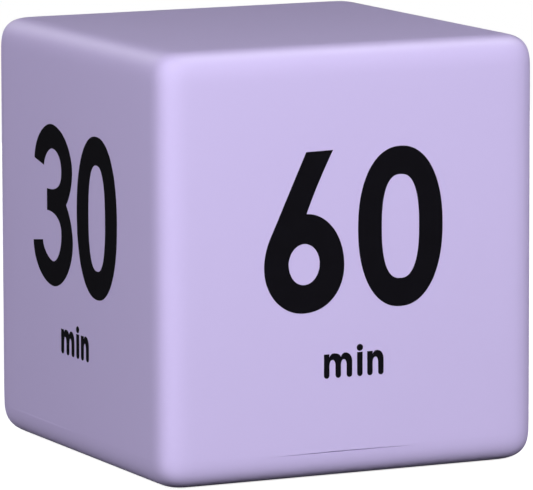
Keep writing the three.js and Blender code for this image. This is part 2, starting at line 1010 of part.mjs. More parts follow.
function sounderPlate() {
  const disc = bar(
    0,
    0,
    sounderHeight,
    sounderHeight + sounderPlateThickness,
    sounderRadius,
    fineSides,
  );
  const pinLow = sounderHeight + sounderPlateThickness / 2;
  const pinHigh = sounderPinTop - floorThickness;
  const pins = [-sounderPinSpacing / 2, sounderPinSpacing / 2].map((y) =>
    bar(0, y, pinLow, pinHigh, sounderPinRadius, smallSides),
  );
  return join(disc, ...pins);
}

// A tilt switch lies along local +X and rises towards its header. Its cap rests just off the board.
function laid(manifold) {
  const geometry = geometryOf(manifold);
  geometry.rotateY(Math.PI / 2 - THREE.MathUtils.degToRad(canSlope));
  geometry.translate(0, 0, canRadius + fitGap);
  return solid(geometry);
}

function tiltCan() {
  return laid(
    turned(
      [
        [0, 0],
        [canRadius, 0],
        [canRadius, canLength],
        [canInnerRadius, canLength],
        [canInnerRadius, canMetal],
        [0, canMetal],
      ],
      middleSides,
    ),
  );
}

// The point at a distance along a tilt switch's axis, in its own upright frame.
function alongCan(distance) {
  const slope = THREE.MathUtils.degToRad(canSlope);
  return new THREE.Vector3(
    distance * Math.cos(slope),
    0,
    canRadius + fitGap + distance * Math.sin(slope),
  );
}

function tiltHeader() {
  const end = canLength + headerFlange;
  const body = laid(
    turned(
      [
        [0, canLength - headerPlug],
        [canInnerRadius - fitGap, canLength - headerPlug],
        [canInnerRadius - fitGap, canLength],
        [canRadius, canLength],
        [canRadius, end],
        [0, end],
      ],
      middleSides,
    ),
  );
  const leads = [-leadSpacing / 2, leadSpacing / 2].map((y) => {
    const inner = alongCan(canLength);
    const bend = alongCan(end + leadReach);
    const foot = new THREE.Vector3(bend.x, y, 0);
    inner.y = y;
    bend.y = y;
    return solid(wireThrough([inner, bend, foot], leadRadius, springSides));
  });
  return join(body, ...leads);
}

function tiltBall() {
  return solid(new THREE.SphereGeometry(ballRadius, middleSides, smallSides));
}

// An insulated wire along a smooth route, from just above one joint to just above the next.
function wire(route) {
  const curve = new THREE.CatmullRomCurve3(route.map((point) => new THREE.Vector3(...point)));
  const section = new THREE.Shape();
  for (let k = 0; k < wireSides; k++) {
    const angle = (k * 2 * Math.PI) / wireSides;
    const x = wireRadius * Math.cos(angle);
    const y = wireRadius * Math.sin(angle);
    if (k === 0) {
      section.moveTo(x, y);
    } else {
      section.lineTo(x, y);
    }
  }
  section.closePath();
  const steps = Math.max(Math.round(curve.getLength() / (wireStepShare * wireRadius)), smallSides);
  return solid(new THREE.ExtrudeGeometry(section, { steps, extrudePath: curve }));
}

const group = new THREE.Group();

// Adds a named mesh with its own material to a parent group.
function add(parent, name, shape, [color, roughness, metalness]) {
  const geometry = shape.isBufferGeometry ? shape : geometryOf(shape);
  const material = new THREE.MeshStandardMaterial({ color, roughness, metalness });
  const mesh = new THREE.Mesh(geometry, material);
  mesh.name = name;
  parent.add(mesh);
  return mesh;
}

// Finishes as colour, roughness and metalness.
const lavenderPlastic = [0xc8bce7, 0.42, 0];
const blackPlastic = [0x1b1b1e, 0.5, 0];
const whitePlastic = [0xe9e7e2, 0.5, 0];
const bareSteel = [0xb9bbbd, 0.35, 1];
const nickelPlate = [0xc9c5ba, 0.25, 1];
const cellSleeve = [0x2f3338, 0.35, 0.1];
const boardLaminate = [0x1f6b3c, 0.5, 0];
const sealingResin = [0x101012, 0.3, 0];
const copperWinding = [0xb06a3a, 0.4, 0.9];
const ferrite = [0x2b2b2d, 0.6, 0.1];
const redPvc = [0xb3201f, 0.45, 0];
const blackPvc = [0x17171a, 0.45, 0];

function addHousing() {
  add(group, "body_shell", bodyShell(), lavenderPlastic);
  add(group, "base_cover", baseCover(), lavenderPlastic);
  const door = add(group, "battery_door", batteryDoor(), lavenderPlastic);
  door.position.set(0, hingeY, hingeZ);
  corners(screwX, screwY).forEach(([x, y], i) => {
    const screw = add(group, "cover_screw_" + (i + 1), coverScrew(), bareSteel);
    screw.position.set(x, y, counterboreDepth);
  });
}

function addPower() {
  const left = add(group, "cell_left", cell(), cellSleeve);
  left.position.set(-cellX, contactFaceY - springLength, cellZ);
  left.rotation.z = Math.PI;
  const right = add(group, "cell_right", cell(), cellSleeve);
  right.position.set(cellX, springLength - contactFaceY, cellZ);
  add(group, "contact_positive", contactPositive(), nickelPlate);
  add(group, "contact_negative", contactNegative(), nickelPlate);
  add(group, "contact_bridge", contactBridge(), nickelPlate);
  const line = springLine();
  console.log("least spring gap " + leastSpringGap(line).toFixed(2) + " mm");
  const coil = () => wireThrough(line, springWireRadius, springSides);
  const front = add(group, "spring_negative", coil(), bareSteel);
  front.position.set(cellX, -contactFaceY, cellZ);
  const rear = add(group, "spring_bridge", coil(), bareSteel);
  rear.position.set(-cellX, contactFaceY, cellZ);
  rear.rotation.z = Math.PI;
}

function placeOnBoard(mesh, [shareX, shareY], rise) {
  mesh.position.set(shareX * boardHalfX, shareY * boardHalfY, rise);
}

function addBoard() {
  add(group, "main_board", mainBoard(), boardLaminate);
  corners(boardScrewX, boardScrewY).forEach(([x, y], i) => {
    const screw = add(group, "board_screw_" + (i + 1), boardScrew(), bareSteel);
    screw.position.set(x, y, boardTop);
  });
  const onBoard = new THREE.Group();
  onBoard.position.z = boardTop;
  group.add(onBoard);
  add(onBoard, "controller_blob", controllerBlob(), sealingResin);
  const crystal = add(onBoard, "clock_crystal", clockCrystal(), nickelPlate);
  placeOnBoard(crystal, crystalPlaceShare, crystalRadius + fitGap);
  placeOnBoard(add(onBoard, "filter_capacitor", filterCapacitor(), blackPlastic), capacitorPlaceShare, 0);
  placeOnBoard(add(onBoard, "boost_coil", boostCoil(), ferrite), coilPlaceShare, 0);
  placeOnBoard(add(onBoard, "driver_transistor", driverTransistor(), blackPlastic), transistorPlaceShare, 0);
}

// Each tilt switch closes when its own face is up, so its header points away from that face.
function addTiltSwitch(minutes, x, y, quarterTurns) {
  const holder = new THREE.Group();
  holder.position.set(x, y, boardTop);
  holder.rotation.z = (quarterTurns * Math.PI) / 2;
  group.add(holder);
  add(holder, "tilt_" + minutes + "_can", tiltCan(), bareSteel);
  add(holder, "tilt_" + minutes + "_header", tiltHeader(), blackPlastic);
  const ball = add(holder, "tilt_" + minutes + "_ball", tiltBall(), nickelPlate);
  ball.position.copy(alongCan(ballStart));
}

function addSwitch() {
  const holder = new THREE.Group();
  holder.position.set(switchX, 0, platformTop);
  group.add(holder);
  add(holder, "switch_frame", switchFrame(), bareSteel);
  add(holder, "switch_base", switchBase(), ferrite);
  const offPlace = -switchTravel / 2;
  const lever = add(holder, "switch_lever", switchLever(), whitePlastic);
  lever.position.y = offPlace;
  const knob = add(holder, "switch_knob", switchKnob(), blackPlastic);
  knob.position.set(0, offPlace, (knobTop + knobBottom) / 2 - platformTop);
}

function addSounder() {
  const holder = new THREE.Group();
  holder.position.set(sounderX, 0, floorThickness);
  group.add(holder);
  add(holder, "sounder_case", sounderCase(), blackPlastic);
  add(holder, "sounder_diaphragm", sounderDiaphragm(), bareSteel);
  add(holder, "sounder_coil", sounderCoil(), copperWinding);
  add(holder, "sounder_plate", sounderPlate(), boardLaminate);
}

// The wires run from the contacts and the switch to the board, past the board's edge.
function addWires() {
  const tabY = fitGap / 2 - bayHalfY;
  const overTab = tabTop + fitGap;
  const overBoard = boardTop + fitGap;
  const arch = boardTop + wireArch;
  const frontPadY = padInset - boardHalfY;
  add(
    group,
    "wire_battery_black",
    wire([
      [cellX, tabY, overTab],
      [cellX, tabY, boardTop],
      [cellX, (tabY + frontPadY) / 2, arch],
      [cellX, frontPadY, overBoard + wireRadius],
      [cellX, frontPadY, overBoard],
    ]),
    blackPvc,
  );
  const overPins = terminalTop + fitGap;
  const channelX = -(bayOuterX + screwX - postRadius - postDraft) / 2;
  const sideX = -(boardHalfX + (cavityHalfX - boardHalfX) / 4);
  const leftPadX = padInset - boardHalfX;
  add(
    group,
    "wire_battery_red",
    wire([
      [-cellX, tabY, overTab],
      [-cellX, tabY, overTab + 2 * wireRadius],
      [-(cellX + bayOuterX) / 2, tabY, overTab + wireRadius],
      [channelX, -screwY - screwInset / 4, bayTop],
      [channelX, -screwY, bayCeiling],
      [channelX, -screwY / 2, terminalTop + wireArch],
      [switchX, -terminalSpacing, terminalTop + wireArch],
      [switchX, -terminalSpacing, overPins],
    ]),
    redPvc,
  );
  add(
    group,
    "wire_switch_red",
    wire([
      [switchX, 0, overPins],
      [switchX, 0, terminalTop + wireArch],
      [sideX, -wireArch / 2, boardBottom],
      [sideX, -wireArch, boardTop],
      [(sideX + leftPadX) / 2, -wireArch, arch],
      [leftPadX, -wireArch, overBoard + wireRadius],
      [leftPadX, -wireArch, overBoard],
    ]),
    redPvc,
  );
  const rightPadX = -leftPadX;
  const overSounder = sounderPinTop + fitGap;
  [
    ["wire_sounder_red", 1, redPvc],
    ["wire_sounder_black", -1, blackPvc],
  ].forEach(([name, side, finish]) => {
    const pinY = (side * sounderPinSpacing) / 2;
    const padY = wireArch + side * wireArch / 2;
    add(
      group,
      name,
      wire([
        [sounderX, pinY, overSounder],
        [sounderX, pinY, overSounder + wireRadius],
        [-sideX, (pinY + padY) / 2, boardBottom],
        [-sideX, padY, boardTop],
        [(rightPadX - sideX) / 2, padY, arch],
        [rightPadX, padY, overBoard + wireRadius],
        [rightPadX, padY, overBoard],
      ]),
      finish,
    );
  });
}

addHousing();
addPower();
addBoard();
addTiltSwitch("60", -tiltX, tiltSidewaysStart, 1);
addTiltSwitch("30", -tiltCrosswaysStart, tiltY, 0);
addTiltSwitch("15", tiltX, -tiltSidewaysStart, 3);
addTiltSwitch("5", tiltCrosswaysStart, -tiltY, 2);
addSwitch();
addSounder();
addWires();
console.log("tilt ball travel " + ballTravel.toFixed(2) + " mm");

export default group;
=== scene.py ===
import math

import bmesh
import bpy
from mathutils import Matrix, Vector
from mathutils.geometry import interpolate_bezier, tessellate_polygon


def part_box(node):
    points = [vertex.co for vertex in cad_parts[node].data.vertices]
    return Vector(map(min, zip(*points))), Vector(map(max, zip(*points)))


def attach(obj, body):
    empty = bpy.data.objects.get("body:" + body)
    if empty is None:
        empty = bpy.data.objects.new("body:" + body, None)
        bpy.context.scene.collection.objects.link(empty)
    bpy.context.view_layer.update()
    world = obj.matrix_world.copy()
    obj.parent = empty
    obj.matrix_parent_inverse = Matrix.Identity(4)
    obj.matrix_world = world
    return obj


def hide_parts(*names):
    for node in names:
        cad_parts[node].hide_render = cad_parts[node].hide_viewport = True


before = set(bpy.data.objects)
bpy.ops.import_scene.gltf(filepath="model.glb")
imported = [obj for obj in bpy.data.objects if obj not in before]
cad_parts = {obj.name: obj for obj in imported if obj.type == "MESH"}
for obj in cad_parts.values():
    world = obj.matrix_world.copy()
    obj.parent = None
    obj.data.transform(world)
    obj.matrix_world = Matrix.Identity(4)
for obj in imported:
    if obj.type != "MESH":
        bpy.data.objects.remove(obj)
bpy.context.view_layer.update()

MM = 0.001


def span(node):
    """Lowest and highest corner of a node, in millimetres."""
    low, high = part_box(node)
    return low / MM, high / MM


# Housing
SHELL_LOW, SHELL_HIGH = span("body_shell")
HALF_X, HALF_Y, HEIGHT = SHELL_HIGH
SEAM = SHELL_LOW.z
WALL = 2.0
POST_SINK = 0.3
FLOOR = 2.2
EDGE_REACH = 6.0
EDGE_POWER = 3.6
# The edge round the base is a little softer than the others.
BASE_EDGE_REACH = 6.7
# The base's tray: how thick its bottom is, how wide its rim, and where the ribs and towers on it begin
BASE_SKIN = 1.2
BASE_RIM = 2.4
CORE_INSET = 2.2
INK_DEPTH = 0.03
MOUTH = 0.2
OVERRUN = 1.0
# A cut that follows one that is there already goes this much further, so that no film is left.
CLEAN = 0.02
# How close two points lie when they merge: in pieces made here, and in what a CAD node or a rule gives
WELD = 0.001
FINE_WELD = 0.0001

# The seam shows where the two mouldings don't quite meet: within a stretch of each side, given by the
# side's outward direction, the stretch's middle and half length, and how far the housing's rim stands up
# from the base's rim, which leaves a dark line, or out from it, which catches the light.
SEAM_STRETCHES = (
    ((0, -1), -1.7, 11.5, 0.11, 0.0),
    ((-1, 0), 12.8, 13.0, 0.0, 0.06),
    ((0, 1), 2.5, 13.0, 0.11, 0.0),
    ((1, 0), -4.0, 12.0, 0.11, 0.0),
)
FLARE_HEIGHT = 0.3

# Screws
SCREW_LOW, SCREW_HIGH = span("cover_screw_1")
SCREW_X = (SCREW_LOW.x + SCREW_HIGH.x) / 2
SCREW_Y = (SCREW_LOW.y + SCREW_HIGH.y) / 2
COUNTERBORE_RADIUS = 2.6
COUNTERBORE_DEPTH = 4.6
BOARD_HIGH = span("main_board")[1]
SHANK_RADIUS = {"cover_screw": 1.1, "board_screw": 0.8}
# Shares of a screw's own sizes: how far its dome falls at the rim, how far its shank reaches into the
# head, its point's length and end, its thread's core and length, and the width of its recess, of one
# arm of it and of its narrow end, and how deep it goes
HEAD_DOME = 0.45
DOME_POWER = 3.0
SHANK_ROOT = 0.3
POINT_LENGTH = 2.0
POINT_END = 0.1
THREAD_CORE = 0.78
THREAD_SHARE = 0.8
RECESS_WIDTH = 0.85
RECESS_ARM = 0.27
RECESS_TAPER = 0.3
RECESS_DEPTH = 0.2

# Cells
CELL_NUB_HEIGHT = 0.8
CELL_NUB_RADIUS = 1.9
CELL_PAD_RADIUS = 3.6
CELL_FILM = 0.12
CELL_FOLD = 0.9

# Battery door and its hole
DOOR_LOW, DOOR_HIGH = span("battery_door")
DOOR_GAP = 0.3
PIN_RADIUS = 0.4
PIN_LENGTH = 1.0
DOOR_RIB = 0.25
DOOR_BOTTOM = DOOR_LOW.z + DOOR_RIB
DOOR_HALF_X = DOOR_HIGH.x - PIN_LENGTH
DOOR_HALF_Y = DOOR_HIGH.y
DOOR_THICKNESS = DOOR_HIGH.z - DOOR_BOTTOM
DOOR_CORNER = 1.0
DOOR_EDGE = 0.15
HINGE = (0, DOOR_THICKNESS / 2 - DOOR_HALF_Y, DOOR_BOTTOM + DOOR_THICKNESS / 2)
HINGE_SEAT_RADIUS = 0.65
SIDEWAYS = Matrix.Rotation(math.pi / 2, 3, "Y")
LATCH_WIDTH = 10.0
LATCH_LENGTH = 9.0
LATCH_SLOT = 0.8
GRIP_RIBS = 3
GRIP_SPACING = 1.6
GRIP_THICKNESS = 0.7
GRIP_EDGE = 0.2
SCOOP_RADIUS = 5.0
SCOOP_DEPTH = 1.4
SCOOP_STEPS = 32

# Slide switch
KNOB_LOW, KNOB_HIGH = span("switch_knob")
SWITCH_X = (KNOB_LOW.x + KNOB_HIGH.x) / 2
KNOB_RIDGE = 0.2
KNOB_RIDGES = 3
KNOB_SPACING = 1.2
KNOB_RIDGE_THICKNESS = 0.5
KNOB_CORNER = 0.6
KNOB_EDGE = 0.18
POCKET_HALF_X = 2.7
POCKET_HALF_Y = 4.5
POCKET_DEPTH = 2.0
POCKET_CORNER = 1.0
# The words ON and OFF beside the switch: their size, their depth, and how far each stands from it
FLOOR_WORD_SIZE = 2.9
FLOOR_WORD_DEPTH = 0.25
FLOOR_WORD_PLACE = 7.6

# Sounder
SOUNDER_LOW, SOUNDER_HIGH = span("sounder_case")
SOUNDER_X = (SOUNDER_LOW.x + SOUNDER_HIGH.x) / 2
SOUND_HOLE_RADIUS = 0.6
SOUND_HOLE_RING = 2.6
SOUND_HOLE_COUNT = 6

# Fineness of round shapes
ROUND_SIDES = 64
CORNER_STEPS = 8
FLARE_STEPS = 4


def linear(colour):
    """A scene colour from an sRGB hex colour."""
    channels = [int(colour[i : i + 2], 16) / 255 for i in (1, 3, 5)]
    return tuple(c / 12.92 if c <= 0.04045 else ((c + 0.055) / 1.055) ** 2.4 for c in channels) + (1.0,)


def fill_inputs(tree, node, inputs):
    """Fills a node's inputs with values, with outputs of other nodes, with nodes, which stand for their
    first outputs, or with a list of them."""
    for key, value in inputs.items():
        for source in value if isinstance(value, list) else [value]:
            if isinstance(source, bpy.types.Node):
                source = source.outputs[0]
            if isinstance(source, bpy.types.NodeSocket):
                tree.links.new(source, node.inputs[key])
            else:
                node.inputs[key].default_value = source


def add_node(tree, kind, inputs=(), **settings):
    """Adds a node with its settings and links."""
    node = tree.nodes.new(kind)
    for name, value in settings.items():
        setattr(node, name, value)
    fill_inputs(tree, node, dict(inputs))
    return node


# Making and joining solids


def add_object(name, data):
    """Puts a mesh, curve, lamp or camera into the scene as an object."""
    thing = bpy.data.objects.new(name, data)
    bpy.context.scene.collection.objects.link(thing)
    return thing


def weld(source, mesh, distance, outwards=False):
    """Fills a mesh from another with doubles merged, and with its faces turned outwards where asked."""
    work = bmesh.new()
    work.from_mesh(source)
    bmesh.ops.remove_doubles(work, verts=work.verts, dist=distance * MM)
    if outwards:
        bmesh.ops.recalc_face_normals(work, faces=work.faces)
    work.to_mesh(mesh)
    work.free()
    return mesh


def make_piece(name, points, faces):
    """An object from points in millimetres and faces, with its doubles merged and its faces outwards."""
    mesh = bpy.data.meshes.new(name)
    mesh.from_pydata([[value * MM for value in point] for point in points], [], faces)
    return add_object(name, weld(mesh, mesh, WELD, outwards=True))


def rectangle(half_x, half_y, corner, grow=0.0):
    """The outline of a rectangle with round corners, and a circle where the corner takes up both sides."""
    half_x, half_y, corner = half_x + grow, half_y + grow, max(corner + grow, 0.0)
    points = []
    for turn, (side_x, side_y) in enumerate(((1, 1), (-1, 1), (-1, -1), (1, -1))):
        for step in range(CORNER_STEPS + 1):
            angle = (turn + step / CORNER_STEPS) * math.pi / 2
            x = side_x * (half_x - corner) + corner * math.cos(angle)
            y = side_y * (half_y - corner) + corner * math.sin(angle)
            points.append((x, y))
    return points


def circle(radius, grow=0.0):
    angles = [2 * math.pi * i / ROUND_SIDES for i in range(ROUND_SIDES)]
    return [((radius + grow) * math.cos(a), (radius + grow) * math.sin(a)) for a in angles]


def loft(name, outline, levels, place=(0, 0, 0), turn=Matrix.Identity(3)):
    """A closed solid through an outline at several heights, given as pairs of height and growth."""
    rings = [[(x, y, z) for x, y in outline(grow=grow)] for z, grow in levels]
    count = len(rings[0])
    faces = [tuple(reversed(range(count))), tuple(range((len(rings) - 1) * count, len(rings) * count))]
    for level in range(len(rings) - 1):
        for i in range(count):
            a, b = level * count + i, level * count + (i + 1) % count
            faces.append((a, b, b + count, a + count))
    points = [turn @ Vector(point) + Vector(place) for ring in rings for point in ring]
    return make_piece(name, points, faces)


def rounded_plate(half_x, half_y, corner):
    return lambda grow=0.0: rectangle(half_x, half_y, corner, grow)


def round_bar(radius):
    return lambda grow=0.0: circle(radius, grow)


def mouth_levels(depth, mouth=MOUTH):
    """Heights and growths of a cut that comes up from below, its mouth at height 0 rounded outwards."""
    levels = [(-OVERRUN, mouth)]
    for step in range(FLARE_STEPS + 1):
        angle = step / FLARE_STEPS * math.pi / 2
        levels.append((mouth * (1 - math.cos(angle)), mouth * (1 - math.sin(angle))))
    levels.append((depth, 0.0))
    return levels


def eased_levels(low, high, edge):
    """Heights and growths of a solid whose lower and upper rims are rounded inwards."""
    angles = [step / FLARE_STEPS * math.pi / 2 for step in range(FLARE_STEPS + 1)]
    lower = [(low + edge * (1 - math.sin(a)), edge * (math.cos(a) - 1)) for a in reversed(angles)]
    upper = [(high - edge * (1 - math.sin(a)), edge * (math.cos(a) - 1)) for a in angles]
    return lower + upper


def combine(piece, tools, operation):
    """Joins or cuts a piece with several others, which are used up."""
    for tool in tools:
        boolean = piece.modifiers.new(operation.lower(), "BOOLEAN")
        boolean.operation = operation
        boolean.solver = "MANIFOLD"
        boolean.object = tool
    apply_modifiers(piece)
    for tool in tools:
        bpy.data.objects.remove(tool)
    return piece


def apply_modifiers(piece):
    """Turns what a piece's modifiers give into its own plain mesh."""
    evaluated = piece.evaluated_get(bpy.context.evaluated_depsgraph_get())
    mesh = bpy.data.meshes.new_from_object(evaluated)
    mesh.name = piece.name
    piece.modifiers.clear()
    piece.data = mesh
    return piece


def merged_copy(name, node):
    """A closed copy of a node's loose triangles."""
    return add_object(name, weld(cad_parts[node].data, bpy.data.meshes.new(name), FINE_WELD))


def finish_piece(piece, body, slot, material, *nodes, sharp=32):
    """Gives a piece its finish and its smooth shading, and hands it to the frame."""
    piece.data.materials.clear()
    piece.data.materials.append(material)
    piece.data.polygons.foreach_set("material_index", [0] * len(piece.data.polygons))
    piece.data.shade_smooth()
    piece.data.set_sharp_from_angle(angle=math.radians(sharp))
    flat = piece.modifiers.new("flat_faces_stay_flat", "WEIGHTED_NORMAL")
    flat.keep_sharp = True
    apply_modifiers(piece)
    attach(piece, body)
    if nodes:
        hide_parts(*nodes)
    return piece


# Geometry Nodes


def new_rule(name, inputs):
    """A geometry tree with named inputs, given with their starting values."""
    tree = bpy.data.node_groups.new(name, "GeometryNodeTree")
    kinds = {int: "NodeSocketInt", float: "NodeSocketFloat", tuple: "NodeSocketVector"}
    for label, value in inputs.items():
        kind = kinds[type(value)]
        tree.interface.new_socket(label, in_out="INPUT", socket_type=kind).default_value = value
    tree.interface.new_socket("Material", in_out="INPUT", socket_type="NodeSocketMaterial")
    tree.interface.new_socket("Geometry", in_out="OUTPUT", socket_type="NodeSocketGeometry")
    return tree, add_node(tree, "NodeGroupInput").outputs


def close_rule(tree, geometry, material):
    """Ends a geometry tree: its instances are made real and take the material."""
    real = add_node(tree, "GeometryNodeRealizeInstances", {0: geometry})
    coloured = add_node(tree, "GeometryNodeSetMaterial", {"Geometry": real, "Material": material})
    add_node(tree, "NodeGroupOutput", {0: coloured})


def grow_from_rule(name, tree, values, place=(0, 0, 0), turn=Matrix.Identity(4)):
    """A plain mesh grown by a geometry tree from its named inputs, then turned and put in its place."""
    piece = make_piece(name, [], [])
    modifier = piece.modifiers.new(name, "NODES")
    modifier.node_group = tree
    for item in tree.interface.items_tree:
        if item.in_out == "INPUT" and item.name in values:
            modifier[item.identifier] = values[item.name]
    apply_modifiers(piece)
    piece.data.transform(Matrix.Translation(Vector(place) * MM) @ turn)
    weld(piece.data, piece.data, FINE_WELD)
    return piece


# The cells along a soft block's edge, and the share of them on its flat part
SOFT_CELLS = 60
FLAT_SHARE = 1 / 3


def soft_block_rule():
    """A block whose edges and corners follow a superellipse, so that each face runs softly into the next.
    A cube's even cells are spread so that the outer ones follow the edge at even angles. The reach of the
    edges turns into that of the lowest edge as the sides turn under."""
    starts = {
        "Points": SOFT_CELLS + 1, "Half Size": (0.03, 0.03, 0.03), "Middle": (0.0, 0.0, 0.03),
        "Reach": 0.006, "Low Reach": 0.006, "Power": EDGE_POWER,
    }
    tree, given = new_rule("soft_block", starts)
    points = given["Points"]
    cube = add_node(tree, "GeometryNodeMeshCube", {0: (1, 1, 1), 1: points, 2: points, 3: points})
    place = add_node(tree, "GeometryNodeInputPosition")
    side = add_node(tree, "ShaderNodeVectorMath", {0: place}, operation="SIGN")
    distance = add_node(tree, "ShaderNodeVectorMath", {0: place}, operation="ABSOLUTE")
    flat_end, edge_end, quarter = (FLAT_SHARE / 2,) * 3, (0.5,) * 3, (math.pi / 4,) * 3
    angle = add_node(
        tree,
        "ShaderNodeMapRange",
        {6: distance, 7: flat_end, 8: edge_end, 10: quarter},
        data_type="FLOAT_VECTOR",
    )
    slope = add_node(tree, "ShaderNodeVectorMath", {0: angle.outputs[1]}, operation="TANGENT")
    less = add_node(tree, "ShaderNodeMath", {0: given["Power"], 1: 1.0}, operation="SUBTRACT")
    root = add_node(tree, "ShaderNodeMath", {0: 1.0, 1: less}, operation="DIVIDE")
    away = add_node(tree, "ShaderNodeVectorMath", {0: slope, 1: root}, operation="POWER")
    raised = add_node(tree, "ShaderNodeVectorMath", {0: away, 1: given["Power"]}, operation="POWER")
    total = add_node(
        tree, "ShaderNodeVectorMath", {0: raised, 1: (1, 1, 1)}, operation="DOT_PRODUCT"
    ).outputs[1]
    last = add_node(tree, "ShaderNodeMath", {0: 1.0, 1: given["Power"]}, operation="DIVIDE")
    length = add_node(tree, "ShaderNodeMath", {0: total, 1: last}, operation="POWER")
    upright = add_node(tree, "ShaderNodeSeparateXYZ", {0: away}).outputs["Z"]
    under = add_node(tree, "ShaderNodeMath", {0: upright, 1: length}, operation="DIVIDE")
    under = add_node(tree, "ShaderNodeMath", {0: under, 1: 2.0}, operation="POWER")
    level = add_node(tree, "ShaderNodeSeparateXYZ", {0: place}).outputs["Z"]
    lower = add_node(tree, "ShaderNodeMath", {0: level, 1: 0.0}, operation="LESS_THAN")
    under = add_node(tree, "ShaderNodeMath", {0: under, 1: lower}, operation="MULTIPLY")
    reach = add_node(tree, "ShaderNodeMix", {0: under, 2: given["Reach"], 3: given["Low Reach"]})
    straight = add_node(
        tree, "ShaderNodeVectorMath", {0: given["Half Size"], 1: reach}, operation="SUBTRACT"
    )
    inner = add_node(
        tree, "ShaderNodeMapRange", {6: distance, 8: flat_end, 10: straight}, data_type="FLOAT_VECTOR"
    )
    scale = add_node(tree, "ShaderNodeMath", {0: reach, 1: length}, operation="DIVIDE")
    outer = add_node(tree, "ShaderNodeVectorMath", {0: away, "Scale": scale}, operation="SCALE")
    both = add_node(tree, "ShaderNodeVectorMath", {0: inner.outputs[1], 1: outer}, operation="ADD")
    moved = add_node(
        tree, "ShaderNodeVectorMath", {0: both, 1: side, 2: given["Middle"]}, operation="MULTIPLY_ADD"
    )
    soft = add_node(tree, "GeometryNodeSetPosition", {"Geometry": cube, "Position": moved})
    close_rule(tree, soft, given["Material"])
    return tree


SOFT_BLOCK = soft_block_rule()


def soft_block(name, half_x, half_y, low, high, reach, low_reach, material):
    half = (half_x * MM, half_y * MM, (high - low) / 2 * MM)
    middle = (0.0, 0.0, (high + low) / 2 * MM)
    values = {"Half Size": half, "Middle": middle, "Reach": reach * MM, "Low Reach": low_reach * MM}
    return grow_from_rule(name, SOFT_BLOCK, {**values, "Material": material})


RIB_CELLS = 18
RIB_POWER = 2.6


def rib_row_rule():
    """A row of soft-edged grip ribs, one after another along Y."""
    starts = {"Count": 3, "Spacing": 0.0016, "Half Size": (0.0025, 0.00035, 0.00025), "Reach": 0.0002}
    tree, given = new_rule("rib_row", starts)
    half, reach = given["Half Size"], given["Reach"]
    block = {
        "Points": RIB_CELLS + 1, "Half Size": half, "Middle": (0, 0, 0), "Reach": reach, "Low Reach": reach,
        "Power": RIB_POWER,
    }
    rib = add_node(tree, "GeometryNodeGroup", block, node_tree=SOFT_BLOCK)
    step = add_node(tree, "ShaderNodeCombineXYZ", {"Y": given["Spacing"]})
    row = add_node(tree, "GeometryNodeMeshLine", {"Count": given["Count"], "Offset": step})
    ribs = add_node(tree, "GeometryNodeInstanceOnPoints", {"Points": row, "Instance": rib})
    close_rule(tree, ribs, given["Material"])
    return tree


RIB_ROW = rib_row_rule()


def rib_row(name, count, spacing, half_size, reach, place, material):
    values = {"Count": count, "Spacing": spacing * MM, "Reach": reach * MM, "Material": material}
    return grow_from_rule(
        name, RIB_ROW, {**values, "Half Size": tuple(half * MM for half in half_size)}, place
    )


# Camera: where the photograph was taken from, with the focal length in pixels of its frame
IMAGE_WIDTH = 533
CAMERA_AZIMUTH = -0.447606
CAMERA_ELEVATION = 0.143766
CAMERA_ROLL = -0.002626
CAMERA_DISTANCE = 865.9
CAMERA_FOCAL = 5784.85
CAMERA_OFFSET = (0.655, -1.356)


def direction(azimuth, elevation):
    """The unit vector to a place at this azimuth and elevation, in radians, seen from the object."""
    level = math.cos(elevation)
    return Vector((math.sin(azimuth) * level, -math.cos(azimuth) * level, math.sin(elevation)))


def add_camera():
    camera = add_object("camera", bpy.data.cameras.new("camera"))
    back = direction(CAMERA_AZIMUTH, CAMERA_ELEVATION)
    level = Vector((math.cos(CAMERA_AZIMUTH), math.sin(CAMERA_AZIMUTH), 0))
    upright = back.cross(level)
    right = math.cos(CAMERA_ROLL) * level + math.sin(CAMERA_ROLL) * upright
    up = back.cross(right)
    aim = Vector((0, 0, HEIGHT / 2)) + CAMERA_OFFSET[0] * right + CAMERA_OFFSET[1] * up
    place = Matrix.Translation((aim + CAMERA_DISTANCE * back) * MM)
    camera.matrix_world = place @ Matrix((right, up, back)).transposed().to_4x4()
    camera.data.sensor_width = 36
    camera.data.lens = camera.data.sensor_width * CAMERA_FOCAL / IMAGE_WIDTH
    bpy.context.scene.camera = camera


add_camera()


# Materials


def new_material(name, colour, shade, cloud):
    """A material whose colour drifts between two close ones, over patches this many millimetres apart."""
    material = bpy.data.materials.new(name)
    material.use_nodes = True
    tree = material.node_tree
    shader = tree.nodes["Principled BSDF"]
    place = add_node(tree, "ShaderNodeTexCoord").outputs["Object"]
    drift = add_node(tree, "ShaderNodeTexNoise", {"Vector": place, "Scale": per_mm(cloud), "Detail": 3})
    colours = {0: drift.outputs["Fac"], 6: linear(colour), 7: linear(shade)}
    tint = add_node(tree, "ShaderNodeMix", colours, data_type="RGBA")
    fill_inputs(tree, shader, {"Base Color": tint.outputs[2]})
    return material, tree, shader, place


def per_mm(size):
    """The scale of a pattern whose features are this many millimetres apart."""
    return 1 / (size * MM)


def uneven_surface(tree, place, apart, depth, detail=1):
    """The normal of a surface whose unevenness is this far apart and this deep, in millimetres."""
    noise = add_node(tree, "ShaderNodeTexNoise", {"Vector": place, "Scale": per_mm(apart), "Detail": detail})
    bump = add_node(tree, "ShaderNodeBump", {"Height": noise.outputs["Fac"], "Distance": depth * MM})
    return bump


